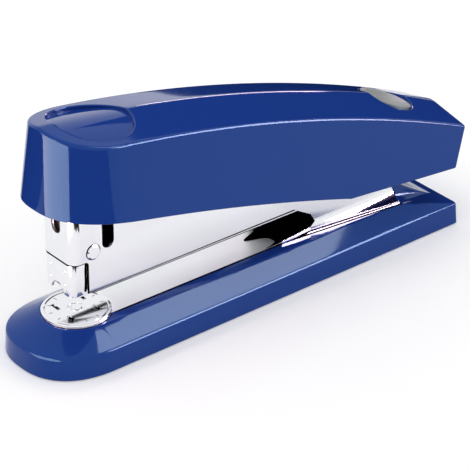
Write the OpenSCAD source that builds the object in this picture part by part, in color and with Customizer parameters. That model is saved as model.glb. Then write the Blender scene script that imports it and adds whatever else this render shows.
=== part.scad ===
// Manual front-loading desk stapler for 24/6 and 26/6 staples.
// The origin lies on the floor under the centre of the anvil disc. The nose points along -X,
// the hinge end along +X, and the whole stapler is symmetrical about the XZ plane.

/* [Base] */
// Width of the base at the floor
base_w = 44.8; // [42:0.2:50]
// Distance from the anvil centre to the front of the base
base_front = 24.6; // [22:0.2:30]
// Distance from the anvil centre to the rear of the base
base_rear = 162.9; // [160:0.5:175]
// Height of the base rim, where the sloping faces start
rim_z = 8.4; // [7:0.1:10]
// Height of the top of the base plate
plate_z = 13.6; // [12.5:0.1:15]
// Half-width of the base plate at the front
plate_half = 9; // [8:0.1:11]
// Half-width of the base plate at the hinge end
flange_half = 15.2; // [13:0.1:15.6]
// Half-width of the plateau between the sloping faces, at the front
plateau_half = 12.2; // [11.5:0.1:12.6]
// Wall of the base shell
base_wall = 2.2; // [1.8:0.1:3]
// Thickness of the base plate
plate_t = 1.2; // [1:0.1:1.6]

/* [Anvil] */
// Radius of the anvil disc
anvil_r = 12.4; // [11.5:0.1:13]
// Height of the anvil disc above the base plate
anvil_h = 1.15; // [0.8:0.05:1.4]

/* [Staple] */
// Outside width of a staple crown
staple_w = 12.8; // [12.4:0.1:13.2]
// Leg length of the tallest staple
staple_leg = 6; // [6:0.5:8]
// Diameter of the staple wire
staple_wire = 0.5; // [0.4:0.05:0.7]

/* [Hood] */
// Sheet thickness of the hood
hood_t = 0.9; // [0.8:0.05:1.1]
// Distance from the anvil centre to the front face of the hood
nose_x = 7.4; // [7.2:0.1:8.4]
// Height of the lower edge of the hood
hood_z = 25.2; // [25:0.1:26]
// Height of the hood at its front face
hood_top = 60; // [58:0.5:61]
// Distance from the anvil centre to the rear end of the hood
hood_rear = 130; // [127:0.5:132]

/* [Hinge] */
// Distance from the anvil centre to the hinge pin
pin_x = 118.8; // [117:0.2:120]
// Height of the hinge pin
pin_z = 33; // [32:0.2:34]
// Radius of the hinge pin
pin_r = 2.5; // [2:0.1:3]
// Sheet thickness of the rear bracket
bracket_t = 1.2; // [1:0.05:1.4]

/* [Cap] */
// Width of the cap along its lower rim
cap_w = 42; // [40:0.2:46]
// Width of the cap along its upper edge
cap_top_w = 37.1; // [35:0.1:40]
// Wall of the cap shell
cap_wall = 2; // [1.6:0.1:2.6]
// Rise of the cap's ridge above its upper edges
ridge_rise = 3.8; // [2:0.1:5]
// Radius of the thumb dish
thumb_r = 14.8; // [13:0.1:15.5]
// Half-width of the release button
button_half = 10.4; // [9:0.1:11]
// Travel of the release button
button_travel = 3; // [2:0.1:3.2]

/* [Clearance] */
// Gap between sheet parts that slide on each other
slide_gap = 0.2; // [0.15:0.01:0.3]
// Radial gap between a pin and the holes that turn on it
pin_gap = 0.06; // [0.03:0.01:0.1]
// Gap between parts that must not touch
air_gap = 0.4; // [0.3:0.05:0.5]

/* [Hidden] */
$fn = 48;
cut = 1;

// Finishes
blue = [0.11, 0.24, 0.52];
steel = [0.82, 0.83, 0.85];
dark = [0.12, 0.12, 0.13];
button_green = [0.64, 0.72, 0.68];

// Base: the rim outline is a superellipse at the front and square at the rear
rim_draft = 0.4;
base_nose = 25;
base_power = 2.4;
nose_c = base_nose + rim_draft - base_front;
nose_steps = 18;
base_half = base_w / 2;
pad_t = 1.6;
pad_proud = 0.4;
pad_gap = 0.4;
plate_gap = 0.3;
rear_corner = 2;
flange_x = 138.3;
flange_start = 84;
plate_grow = 0.7;
plateau_r = anvil_r + 0.8;
plateau_start = 18;
plateau_grow = 4;
plate_r = anvil_r - 0.2;
side_x = [plateau_start, 60, flange_start, 98, 112, 126];
seat_z = plate_z - plate_t;
fairing_z = 21;
fairing_len = 19;
fairing_x = flange_x - 0.2;
screw_r = 1.25;
screw_gap = 0.1;
boss_r = 3.2;
screw_x = [42, 92, 130];
toe_x = 84.1;
brow_x = 73;
mouth_x = 99.5;
mouth_z = 18;
block_x = 84;
block_len = 26;
block_h = 5.4;
return_half = 6.4;
rib_x = [24, 60, 78, 108, 146];
rib_t = 1.6;

// Anvil
anvil_gap = 0.15;
anvil_top = plate_z + anvil_h;
stud_r = 2;
clinch_x = 5.5;
clinch_depth = 0.5;

// Magazine, all of it inside the hood
hood_half = staple_w / 2 + 2.7;
hood_in = hood_half - hood_t;
hood_corner = 3.5;
nose_half = hood_in - slide_gap;
nose_t = 0.7;
nose_back = -0.7;
nose_z = hood_z - 0.7;
nose_top = 37;
nose_front_t = 1;
channel_half = nose_half - nose_t;
channel_t = 0.8;
channel_z = hood_z - 1.7;
channel_top = 33;
channel_front = -4.4;
channel_rear = 105;
channel_floor = channel_z + channel_t;
rail_half = staple_w / 2 - staple_wire - 0.5;
rail_top = channel_floor + staple_leg - 0.2;
rod_r = 1.5;
rod_z = 34.5;
rod_front = 0;
holder_x = 96;
holder_t = 2;
pusher_t = 0.6;
pusher_front = -4;
pusher_back = 20;

// Rivets of the front guide, and the latch
rivet_x = 1.3;
rivet_z = 40.5;
rivet_r = 1.2;
latch_x = 109;
latch_z = 45;
latch_pin_r = 1.2;
hook_x = 100.4;
tail_x = 143;
tail_z = 44.9;

// Driver: upright when the cap is pressed, turned back by the cap's travel at rest
cap_travel = 6.1;
blade_t = 0.6;
blade_w = staple_w - 0.2;
blade_x = -5.8;
blade_z = 24.8;
blade_len = 28;
guide_pin_r = 1.3;
guide_pin_x = 8.6;
guide_pin_z = 58;
slot_x = 7.6;
slot_half = 2.5;

// Cap
cap_half = cap_w / 2;
cap_top_half = cap_top_w / 2;
cap_origin = 0.8;
cap_rear = 167.8;
cap_rim_rear = 160.5;
thumb_x = 8.3;
dish_drop = 1.4;
dish_sink = 0.3;
dish_blend = 4;
carrier_half = hood_in - slide_gap - 0.1;
carrier_top = ridge_z(thumb_x + 8) - dish_fall(carrier_half) - cap_wall - 0.9;
screw_place = 10;
screw_y = 4.4;
carrier_bite = 2.6;
lift_x = 30;
lift_top = 74;
button_x = 142.8;
lug_r = 6;
lug_t = 2;
lug_y = hood_half + 0.3 + bracket_t + air_gap;
bracket_half = hood_half + 0.3;

function ridge_z(x) = 87.6 - 12.26 * (x - cap_origin) / 100 - 9.36 * pow((x - cap_origin) / 100, 2);
function ridge_tilt(x) = atan(0.1226 + 0.1872 * (x - cap_origin) / 100);

// Closed solid through rings of points, each ring a loop with as many points as the others and
// anticlockwise as seen from the last ring. Rings that are mirrored across y = 0 are closed by
// strips across, and the others as one flat face.
module loft(rings, strips = false) {
    n = len(rings[0]);
    m = len(rings);
    h = (n - 1) / 2;
    points = [for (ring = rings) for (p = ring) p];
    sides = [for (j = [0:m - 2]) for (i = [0:n - 1]) for (side = [0, 1])
        let (a = j * n + i, b = j * n + (i + 1) % n)
        side == 0 ? [a, b + n, b] : [a, a + n, b + n]];
    cap = strips ? concat([[h, h - 1, h + 1]], [for (j = [1:h - 1]) for (side = [0, 1])
        side == 0 ? [h - j, h - j - 1, h + j + 1] : [h - j, h + j + 1, h + j]])
        : [[for (i = [n - 1:-1:0]) i]];
    bottom = [for (f = cap) [for (i = [len(f) - 1:-1:0]) f[i]]];
    top = [for (f = cap) [for (i = f) (m - 1) * n + i]];
    polyhedron(points = points, faces = concat(bottom, sides, top), convexity = 8);
}

// Round wire of radius r along a path whose tangents all lie across the direction given by side
module wire(path, r, side, n = 6) {
    last = len(path) - 1;
    rings = [for (i = [0:last])
        let (d = path[min(i + 1, last)] - path[max(i - 1, 0)], t = d / norm(d),
            u0 = cross(t, side), u = u0 / norm(u0), v = cross(t, u))
        [for (k = [0:n - 1]) path[i] + r * (cos(360 * k / n) * u + sin(360 * k / n) * v)]];
    loft(rings);
}

// Profile in X and Z, extruded both ways from the XZ plane
module across(half) {
    rotate([90, 0, 0]) linear_extrude(2 * half, center = true) children();
}

// Profile in Y and Z, extruded from x0 to x1
module along(x0, x1) {
    translate([x0, 0, 0]) rotate([90, 0, 90]) linear_extrude(x1 - x0) children();
}

// Cylinder along Y through a point of the XZ plane
module crossbar(x, z, r, half) {
    translate([x, 0, z]) rotate([90, 0, 0]) cylinder(r = r, h = 2 * half, center = true);
}

// ---- Base ----

// Angle from the nose tip at which the round plateau meets its straight lip
function plateau_turn() = 180 - asin(plateau_half / plateau_r);

// Distance to the rim outline at an angle from the nose tip: superellipse, then straight side
function rim_reach(a, f, h) = a < 90
    ? pow(pow(cos(a) / f, base_power) + pow(sin(a) / h, base_power), -1 / base_power) : h / sin(a);

// Half of the base outline from the nose tip to the rear, at an inset from the rim
function rim_half_outline(inset, grow, z) = let (h = base_half - rim_draft + grow - inset,
    f = base_nose + grow - inset, xr = base_rear - 1.9 + grow - inset, a1 = plateau_turn())
    concat([for (i = [0:nose_steps]) let (a = a1 * i / nose_steps, r = rim_reach(a, f, h))
            [nose_c - r * cos(a), r * sin(a), z]],
        [for (x = concat(side_x, [xr - rear_corner - 1])) [x, h, z]],
        [for (a = [0:45:90]) [xr - rear_corner * (1 - sin(a)), h - rear_corner * (1 - cos(a)), z]]);

// Half-width of the base plate along its length
function plate_edge(x) = x < flange_start ? plate_half + plate_grow * x / flange_start :
    plate_half + plate_grow + (flange_half - plate_half - plate_grow)
        * pow((x - flange_start) / (flange_x - flange_start), 1.1);

// Half-width of the plateau along its length
function plateau_edge(x) = plateau_half + plateau_grow * max(0, x - plateau_start) / (flange_x - plateau_start);

// Half of the plateau outline: a round nose about the anvil, then straight lines to the rear
function plateau_half_outline(z) = let (a1 = plateau_turn())
    concat([for (i = [0:nose_steps]) let (a = a1 * i / nose_steps) [-plateau_r * cos(a), plateau_r * sin(a), z]],
        [for (x = concat(side_x, [flange_x - 3, flange_x - 1.2, flange_x - 0.6, flange_x]))
            [x, plateau_edge(x), z]]);

// Half of the plate outline, with growth all round
function plate_half_outline(grow, z) = let (r = plate_r + grow, a1 = 180 - asin((plate_half + grow) / r))
    concat([for (i = [0:nose_steps]) let (a = a1 * i / nose_steps) [-r * cos(a), r * sin(a), z]],
        [for (x = concat(side_x, [flange_x - 3, flange_x - 1.2, flange_x - 0.6, flange_x - 0.4]))
            [x + min(grow, 0), plate_edge(x) + grow, z]]);

function mirrored(half) = concat([for (i = [len(half) - 1:-1:0]) [half[i][0], half[i][1], half[i][2]]],
    [for (i = [1:len(half) - 1]) [half[i][0], -half[i][1], half[i][2]]]);

function base_rings(inset, drop, floor_z) = [
    mirrored(rim_half_outline(inset, rim_draft, floor_z)),
    mirrored(rim_half_outline(inset, 0, rim_z - 0.6 - drop)),
    mirrored(rim_half_outline(inset + 0.5, 0, rim_z - drop)),
    [for (p = mirrored(plateau_half_outline(plate_z - drop))) [p[0] - (p[0] > flange_x / 2 ? inset : 0),
        p[1] - sign(p[1]) * inset, p[2]]]];

// Seat of the base plate, sunk into the plateau
function seat_rings() = [mirrored(plate_half_outline(plate_gap, plate_z)),
    mirrored(plate_half_outline(plate_gap, seat_z))];

// Footprint of the base plate, with growth all round
module plate_outline(grow) {
    polygon([for (p = mirrored(plate_half_outline(grow, 0))) [p[0], p[1]]]);
}

module base_shell() {
    color(blue) difference() {
        union() {
            difference() {
                loft(concat(base_rings(0, 0, pad_proud), seat_rings()), true);
                difference() {
                    loft(base_rings(base_wall, base_wall + plate_t, -cut), true);
                    for (x = rib_x)
                        translate([x - rib_t / 2, -base_half, pad_t + 1]) cube([rib_t, base_w, plate_z]);
                    for (x = screw_x)
                        translate([x, 0, pad_t + 0.4]) cylinder(r = boss_r, h = plate_z);
                }
            }
            fairing();
            plate_tab();
            mirror([0, 1, 0]) plate_tab();
        }
        for (x = screw_x)
            translate([x, 0, -cut]) cylinder(r = screw_r + screw_gap, h = plate_z + cut);
        translate([0, 0, seat_z - 1]) cylinder(r = stud_r + 1.6, h = plate_z);
    }
}

// Hook that holds the plate's edge down
module plate_tab() {
    tab_x = 16;
    tab_len = 4;
    reach = plate_edge(tab_x) - 0.7;
    root = plate_edge(tab_x) + plate_gap + 0.2;
    along(tab_x, tab_x + tab_len) polygon([[reach, plate_z + 0.1], [root, plate_z + 0.1], [root, plate_z - 0.8],
        [root + 0.5, plate_z - 0.8], [root + 0.5, plate_z + 0.5], [root + 0.3, plate_z + 0.7],
        [reach, plate_z + 0.7]]);
}

// Half section of the fairing at a share s of its length: top, wall, hollow fillet and foot
function fairing_half(s) = let (r = 4.2, w = bracket_half + bracket_t + 0.5, x = fairing_x + fairing_len * s,
    z0 = plate_z - 0.15 - (plate_z - rim_z) * (x - flange_x) / (base_rear - 1.9 - flange_x),
    k = max(0.01, pow(1 - s, 1.2) * (fairing_z - plate_z) / (r + 3)))
    concat([[x, 0, z0 + k * (r + 3.05)], [x, w - 1, z0 + k * (r + 3)], [x, w - 0.3, z0 + k * (r + 2.7)],
            [x, w, z0 + k * (r + 2)]],
        [for (a = [90:-15:0]) [x, w + r * (1 - sin(a)), z0 + k * r * (1 - cos(a))]],
        [[x, w + r, z0 - 1.35]]);

// Smooth swell that closes the gap behind the rear bracket
module fairing() {
    loft([for (s = [0, 0.15, 0.3, 0.5, 0.7, 0.85, 1]) mirrored(fairing_half(s))], true);
}

// Rubber mat pressed into the underside
module base_pad() {
    color(dark) difference() {
        loft([for (z = [0, pad_t]) mirrored(rim_half_outline(base_wall + pad_gap, rim_draft, z))], true);
        for (x = screw_x)
            translate([x, 0, -cut]) cylinder(r = boss_r, h = pad_t + 2 * cut);
    }
}

// Pan-head screws, driven from below into the base plate
module base_screws() {
    color(steel) for (x = screw_x)
        translate([x, 0, 0]) {
            difference() {
                translate([0, 0, pad_t - 0.8]) cylinder(r = 2.6, h = 1.2);
                for (turn = [0, 90])
                    translate([0, 0, pad_t - 0.8]) rotate([0, 0, turn]) cube([3, 0.6, 1.2], center = true);
            }
            translate([0, 0, pad_t + 0.4]) cylinder(r = screw_r, h = plate_z - pad_t - 0.6);
        }
}

module base_plate() {
    color(steel) difference() {
        translate([0, 0, seat_z]) linear_extrude(plate_t) plate_outline(0);
        translate([0, 0, seat_z - cut]) cylinder(r = stud_r, h = plate_t + 2 * cut);
        translate([0, 0, plate_z - 0.7]) cylinder(r = 4.6, h = cut);
        for (x = screw_x)
            translate([x, 0, seat_z - cut]) cylinder(r = screw_r, h = plate_t + 2 * cut);
    }
}

// ---- Rear bracket and hinge ----

// Side outline of the bracket walls, with the open mouth at the front
module bracket_side() {
    polygon([[toe_x, plate_z], [toe_x, plate_z + 1.1], [mouth_x - 1.9, mouth_z - 2], [mouth_x, mouth_z],
        [mouth_x - 2.1, mouth_z + 3.4], [mouth_x - 10, mouth_z + 8], [mouth_x - 18.9, mouth_z + 13],
        [brow_x, mouth_z + 17.5], [brow_x + 2, pin_z + 7], [mouth_x + 0.5, pin_z + 10],
        [pin_x + 6, pin_z + 8], [pin_x + 15.2, pin_z], [flange_x - 0.3, plate_z + 4.9],
        [flange_x - 1, plate_z]]);
}

// Half of the bracket section: wall, hollow fillet at the foot and floor
module bracket_section() {
    foot_r = 4.4;
    wall_y = bracket_half + bracket_t;
    difference() {
        translate([0, plate_z]) square([flange_half + 1, 32]);
        translate([-cut, plate_z + bracket_t]) square([bracket_half + cut, 40]);
        translate([wall_y + foot_r, plate_z + 0.8 + foot_r]) circle(r = foot_r);
        translate([wall_y, plate_z + 0.8 + foot_r]) square([10, 40]);
        translate([wall_y + foot_r, plate_z + 0.8]) square([10, 40]);
    }
}

module rear_bracket() {
    color(steel) difference() {
        intersection() {
            along(brow_x - 3, flange_x) {
                bracket_section();
                mirror([1, 0]) bracket_section();
            }
            across(flange_half + 2) bracket_side();
            union() {
                linear_extrude(60) plate_outline(-0.3);
                translate([0, -bracket_half - bracket_t, 0]) cube([160, 2 * bracket_half + 2 * bracket_t, 60]);
            }
        }
        crossbar(pin_x, pin_z, pin_r, 20);
    }
}

// Plastic block between the bracket walls that the return spring leans on
module spring_block() {
    half = hood_half - 0.6;
    bed_z = plate_z + bracket_t;
    color(dark) difference() {
        translate([block_x, -half, bed_z]) cube([block_len, 2 * half, block_h]);
        translate([block_x + block_len - 12, -return_half - 1.2, bed_z + 1.2]) cube([20, 2.4, block_h]);
        for (x = [4, 10])
            translate([block_x + x, -half / 2, bed_z + 2]) cube([4, half, block_h]);
    }
}

module hinge_pin() {
    color(steel) difference() {
        crossbar(pin_x, pin_z, pin_r, lug_y + lug_t + 1.3);
        for (side = [-1, 1])
            translate([pin_x, side * (lug_y + lug_t + 0.6), pin_z]) rotate([90, 0, 0]) difference() {
                cylinder(r = pin_r + cut, h = 0.5, center = true);
                cylinder(r = pin_r - 0.5, h = 2, center = true);
            }
    }
}

// Retaining clips in the pin's grooves
module pin_clips() {
    color(steel) for (side = [-1, 1])
        translate([pin_x, side * (lug_y + lug_t + 0.6), pin_z]) rotate([90, 0, 0]) difference() {
            cylinder(r = pin_r + 1.4, h = 0.5, center = true);
            cylinder(r = pin_r - 0.5, h = 2, center = true);
            translate([0, -pin_r - 1, 0]) cube([2.4, 2 * pin_r, 2], center = true);
        }
}

// Torsion spring wound on the hinge pin, one leg on the block and one under the hood roof
module return_spring() {
    wire_r = 0.7;
    coil_r = pin_r + 2;
    half_w = return_half;
    start = 304;
    sweep = 1897;
    steps = 63;
    coil = [for (i = [0:steps]) let (a = start + sweep * i / steps)
        [pin_x + coil_r * cos(a), -half_w + 2 * half_w * i / steps, pin_z + coil_r * sin(a)]];
    low = [[101, -half_w, plate_z + bracket_t + 1.2 + wire_r + 0.2]];
    high = [[112, half_w, roof_z(112) - hood_t - wire_r - 0.2]];
    color(steel) wire(concat(low, coil, high), wire_r, [0, 1, 0]);
}

// ---- Anvil ----

// Rivet that the anvil disc turns on
module anvil_stud() {
    color(steel) rotate_extrude()
        polygon([[0, seat_z - 0.8], [stud_r + 1.2, seat_z - 0.8], [stud_r + 1.2, seat_z],
            [stud_r, seat_z], [stud_r, anvil_top - 0.1], [stud_r - 0.4, anvil_top + 0.2], [0, anvil_top + 0.2]]);
}

// Cupped washer that presses the disc up against the rivet
module anvil_spring() {
    color(steel) rotate_extrude()
        polygon([[stud_r + 0.2, plate_z - 0.3], [stud_r + 0.2, plate_z - 0.05], [stud_r + 2.2, plate_z - 0.4],
            [stud_r + 2.2, plate_z - 0.65]]);
}

module anvil_disc() {
    groove_r = anvil_r - 1.4;
    color(steel) difference() {
        rotate_extrude() polygon([[stud_r + pin_gap, plate_z + anvil_gap], [anvil_r - 0.3, plate_z + anvil_gap],
            [anvil_r, plate_z + anvil_gap + 0.3], [anvil_r, anvil_top - 0.3], [anvil_r - 0.3, anvil_top],
            [groove_r + 0.3, anvil_top], [groove_r, anvil_top - 0.25], [groove_r - 0.3, anvil_top],
            [stud_r + 1.1, anvil_top], [stud_r + 0.9, anvil_top - 0.2], [stud_r + pin_gap, anvil_top - 0.2]]);
        for (sx = [-1, 1], sy = [-1, 1])
            clinch_groove(sx * clinch_x, sy * (staple_w / 2 - 1.8));
    }
}

// Curved pocket that turns one staple leg inwards
module clinch_groove(x, y) {
    pocket_r = 5;
    translate([x, y, anvil_top + pocket_r - clinch_depth]) rotate([0, 90, 0])
        cylinder(r = pocket_r, h = 2 * staple_wire + 0.3, center = true);
}

// ---- Arm: hood with what it carries ----

// Height of the hood's roof line
function roof_z(x) = hood_top - 0.095 * max(x, 0);

// Side outline of the hood; inset moves every edge inwards, open_end lets the rear and floor run out
module hood_side(inset, open_end) {
    x0 = -nose_x + inset;
    x1 = hood_rear + open_end;
    step_r = 1.5;
    roof = [for (x = [x1, 0]) [x, roof_z(x) - inset]];
    difference() {
        polygon(concat([[x0, hood_z - open_end], [x1, hood_z - 0.3 - open_end]], roof,
            [[x0, hood_top - inset]]));
        if (open_end == 0) {
            translate([-nose_x - cut, 0]) square([nose_x + nose_back + cut - step_r, nose_top + air_gap]);
            translate([-nose_x - cut, 0]) square([nose_x + nose_back + cut, nose_top + air_gap - step_r]);
            translate([nose_back - step_r, nose_top + air_gap - step_r]) circle(r = step_r);
        }
    }
}

// Footprint with two round front corners
module nose_plan(half, x0, corner, x1) {
    translate([x0 + corner, -half]) square([x1 - x0 - corner, 2 * half]);
    translate([x0, -half + corner]) square([corner + 1, 2 * (half - corner)]);
    for (side = [-1, 1])
        translate([x0 + corner, side * (half - corner)]) circle(r = corner);
}

module hood() {
    roof_start = 13;
    front_slot_z = 49.7;
    side_slot_z = 42.5;
    color(steel) difference() {
        intersection() {
            across(hood_half + cut) hood_side(0, 0);
            linear_extrude(80) nose_plan(hood_half, -nose_x, hood_corner, hood_rear + cut);
        }
        intersection() {
            across(hood_half + cut) hood_side(hood_t, 5);
            linear_extrude(80) nose_plan(hood_in, -nose_x + hood_t, hood_corner - hood_t, hood_rear + 10);
        }
        translate([-nose_x + hood_t, -hood_in, hood_top - 5]) cube([roof_start + nose_x - hood_t, 2 * hood_in, 20]);
        crossbar(pin_x, pin_z, pin_r + pin_gap, 20);
        crossbar(rivet_x, rivet_z, rivet_r, 20);
        crossbar(latch_x, latch_z, latch_pin_r, 20);
        crossbar(slot_x, side_slot_z, slot_half, 20);
        translate([slot_x - slot_half, -20, side_slot_z]) cube([2 * slot_half, 40, 17.3]);
        translate([-nose_x - cut, 0, front_slot_z]) rotate([0, 90, 0]) cylinder(r = slot_half, h = 4);
        translate([-nose_x - cut, -slot_half, front_slot_z]) cube([4, 2 * slot_half, 30]);
    }
}

// Shallow dome heads of the two rivets that hold the front guide
module hood_rivets() {
    head_r = 2.7;
    color(steel) for (side = [-1, 1])
        translate([rivet_x, side * hood_half, rivet_z]) rotate([-side * 90, 0, 0]) rotate_extrude()
            polygon([[0, -hood_t - 2.5], [rivet_r, -hood_t - 2.5], [rivet_r, 0], [head_r, 0],
                [head_r, 0.3], [head_r - 0.5, 0.65], [0, 0.75]]);
}

// Block between the hood walls: it guides the blade and holds the front end of the rod
module front_guide() {
    color(dark) difference() {
        union() {
            translate([-3, -hood_in, nose_top + air_gap + 0.2]) cube([8, 2 * hood_in, 6]);
            translate([rod_front, -3.5, channel_top + slide_gap - 0.8]) cube([5, 7, 8]);
        }
        translate([rod_front, 0, rod_z]) rotate([0, 90, 0]) cylinder(r = rod_r, h = 6);
        crossbar(rivet_x, rivet_z, rivet_r, 20);
        translate([-4, -4, nose_top + 3]) cube([5, 8, 5]);
    }
}

module guide_rod() {
    color(steel) translate([rod_front, 0, rod_z]) rotate([0, 90, 0])
        cylinder(r = rod_r, h = holder_x + holder_t + 0.6 - rod_front);
}

// Folded plate across the hood that holds the rear end of the rod
module rod_holder() {
    top = roof_z(holder_x + holder_t) - hood_t;
    color(steel) difference() {
        translate([holder_x, -hood_in, channel_top + air_gap])
            cube([holder_t, 2 * hood_in, top - channel_top - air_gap]);
        translate([holder_x - cut, 0, rod_z]) rotate([0, 90, 0]) cylinder(r = rod_r, h = holder_t + 2 * cut);
        for (side = [-1, 1])
            translate([holder_x - cut, side * 5, 41]) rotate([0, 90, 0]) cylinder(r = 1.6, h = holder_t + 2 * cut);
    }
}

module latch_pin() {
    color(steel) crossbar(latch_x, latch_z, latch_pin_r, hood_half + 0.2);
}

// Rocking lever: the hook in front catches the drawer, the button pushes the tail down
module latch_lever() {
    t = 1.5;
    color(steel) difference() {
        union() {
            crossbar(latch_x, latch_z, 3, t);
            across(t) polygon([[latch_x - 3, latch_z], [hook_x - 0.6, channel_top + 4],
                [hook_x, channel_top + air_gap], [hook_x + 1.8, channel_top + air_gap],
                [hook_x + 2.2, channel_top + 3.6], [latch_x + 0.5, latch_z - 3]]);
            across(t) polygon([[latch_x, latch_z - 2.9], [tail_x, tail_z - 2.4], [tail_x, tail_z],
                [tail_x - 7, tail_z], [latch_x, latch_z + 2.9]]);
        }
        crossbar(latch_x, latch_z, latch_pin_r + pin_gap, 5);
    }
}

// ---- Drawer and pusher ----

// Open-topped channel that holds the staples
module magazine_channel() {
    color(steel) difference() {
        translate([channel_front, -channel_half, channel_z])
            cube([channel_rear - channel_front, 2 * channel_half, channel_top - channel_z]);
        translate([channel_front - cut, -channel_half + channel_t, channel_floor])
            cube([channel_rear - channel_front - channel_t + cut, 2 * (channel_half - channel_t), 40]);
        for (x = [24, 60])
            translate([x, 0, channel_z - cut]) cylinder(r = 2, h = 4);
    }
}

// Side outline of the nose, with a round lower rear corner
module nose_side() {
    heel_r = 2.5;
    tail = nose_back + 8;
    translate([-nose_x, nose_z]) square([nose_x + nose_back - heel_r, nose_top - nose_z]);
    translate([-nose_x, nose_z + heel_r]) square([nose_x + nose_back, nose_top - nose_z - heel_r]);
    translate([nose_back - heel_r, nose_z + heel_r]) circle(r = heel_r);
    translate([0, channel_z + 3]) square([tail, channel_top - channel_z - 3]);
    translate([nose_back - 1, channel_z + 3]) square([3, channel_top - channel_z - 3]);
}

// Front of the drawer: the blade drives the staple down behind its front wall
module magazine_nose() {
    arch_half = 3.7;
    color(steel) difference() {
        intersection() {
            across(nose_half + cut) nose_side();
            linear_extrude(80) nose_plan(nose_half, -nose_x, hood_corner - hood_t, 20);
        }
        linear_extrude(80) nose_plan(channel_half, -nose_x + nose_front_t, 1.6, 30);
        translate([-nose_x - cut, 0, nose_z - 0.2]) rotate([0, 90, 0])
            cylinder(r = arch_half, h = nose_front_t + 2 * cut);
        for (y = [-4, 4], z = [28.5, 33.5])
            translate([-nose_x, y, z]) sphere(r = 0.5);
    }
}

// Inner rail that the staples straddle
module staple_rail() {
    color(steel) difference() {
        translate([channel_front, -rail_half, channel_floor])
            cube([channel_rear - 5 - channel_front, 2 * rail_half, rail_top - channel_floor]);
        translate([channel_front - cut, -rail_half + channel_t, channel_floor - cut])
            cube([channel_rear, 2 * (rail_half - channel_t), rail_top - channel_floor - channel_t + cut]);
    }
}

// Folded shoe over the rail, with a collar that runs on the rod
module pusher() {
    shoe_half = staple_w / 2 - 0.15;
    shoe_top = rail_top + slide_gap + pusher_t;
    collar_x = 8;
    collar_half = 3.2;
    color(dark) difference() {
        union() {
            translate([pusher_front, -shoe_half, channel_floor + slide_gap])
                cube([pusher_back - pusher_front, 2 * shoe_half, shoe_top - channel_floor - slide_gap]);
            translate([collar_x, -collar_half, shoe_top - 0.2])
                cube([pusher_back - collar_x, 2 * collar_half, rod_z - shoe_top + 0.2]);
            translate([collar_x, 0, rod_z]) rotate([0, 90, 0])
                cylinder(r = collar_half, h = pusher_back - collar_x);
        }
        translate([pusher_front - cut, -rail_half - slide_gap, channel_floor - cut])
            cube([40, 2 * (rail_half + slide_gap), rail_top + slide_gap - channel_floor + cut]);
        translate([collar_x - cut, 0, rod_z]) rotate([0, 90, 0]) cylinder(r = rod_r + 0.1, h = 40);
    }
}

module pusher_spring() {
    wire_r = 0.35;
    turns = 15;
    steps = 10;
    x0 = pusher_back + wire_r + 0.2;
    x1 = holder_x - wire_r - 0.2;
    coil_r = rod_r + wire_r + 0.3;
    color(steel) wire([for (i = [0:turns * steps]) let (a = 360 * i / steps)
        [x0 + (x1 - x0) * i / (turns * steps), coil_r * cos(a), rod_z + coil_r * sin(a)]],
        wire_r, [1, 0, 0], 5);
}

// ---- Cap and driver ----

// Height of the cap's lower rim
function rim_height(x) = let (u = (x - cap_origin) / 100)
    x < 107.8 ? 56.08 - 19.35 * u - 6.04 * u * u :
    x < 147.6 ? 28.4 - 4 * (x - 107.8) / 39.8 : 24.4 - 1.2 * (x - 147.6) / 12.3;

// Point of a superellipse nose at angle a: [x, y]
function nose_point(centre, reach, half, power, a) =
    [centre - reach * pow(max(cos(a), 0), 2 / power), half * pow(sin(a), 2 / power)];

// Stations from the front tip to the rear, shared by the rim and the upper edge
cap_steps = 16;
cap_spans = [0.12, 0.26, 0.4, 0.54, 0.66, 0.74, 0.82, 0.9, 0.96, 1];
function rim_point(i, inset) = i <= cap_steps ?
    nose_point(16.8, 33.3 - inset, cap_half - inset, 2.54, 6 + 84 * i / cap_steps) :
    [16.8 + (cap_rim_rear - inset - 16.8) * cap_spans[i - cap_steps - 1], cap_half - inset];
function edge_point(i, inset) = i <= cap_steps ?
    nose_point(8.8, 22.2 - inset, cap_top_half - inset, 2.1, 6 + 84 * i / cap_steps) :
    [8.8 + (cap_rear - 1 - inset - 8.8) * cap_spans[i - cap_steps - 1], cap_top_half - inset];

// One cross-section of the cap solid, as five points: rim, edge, ridge, edge, rim
function cap_section(i, inset, drop, reach) = let (r = rim_point(i, inset), e = edge_point(i, inset),
    ze = ridge_z(e[0]) - ridge_rise * e[1] / cap_top_half - drop, zr = rim_height(r[0] + inset) - reach)
    [[r[0], r[1], zr], [e[0], e[1], ze], [e[0], 0, ridge_z(e[0]) - drop], [e[0], -e[1], ze], [r[0], -r[1], zr]];

module cap_solid(inset, drop, reach) {
    last = cap_steps + len(cap_spans);
    loft([for (i = [0:last]) cap_section(i, inset, drop, reach)]);
}

// Places children on the ridge at x, square to it
module on_ridge(x) {
    translate([x, 0, ridge_z(x)]) rotate([0, ridge_tilt(x), 0]) children();
}

// Flat ellipse, with growth all round
module button_oval(grow) {
    polygon([for (a = [0:9:351]) [(button_half - 1.4 + grow) * cos(a), (button_half + grow) * sin(a)]]);
}

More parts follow.
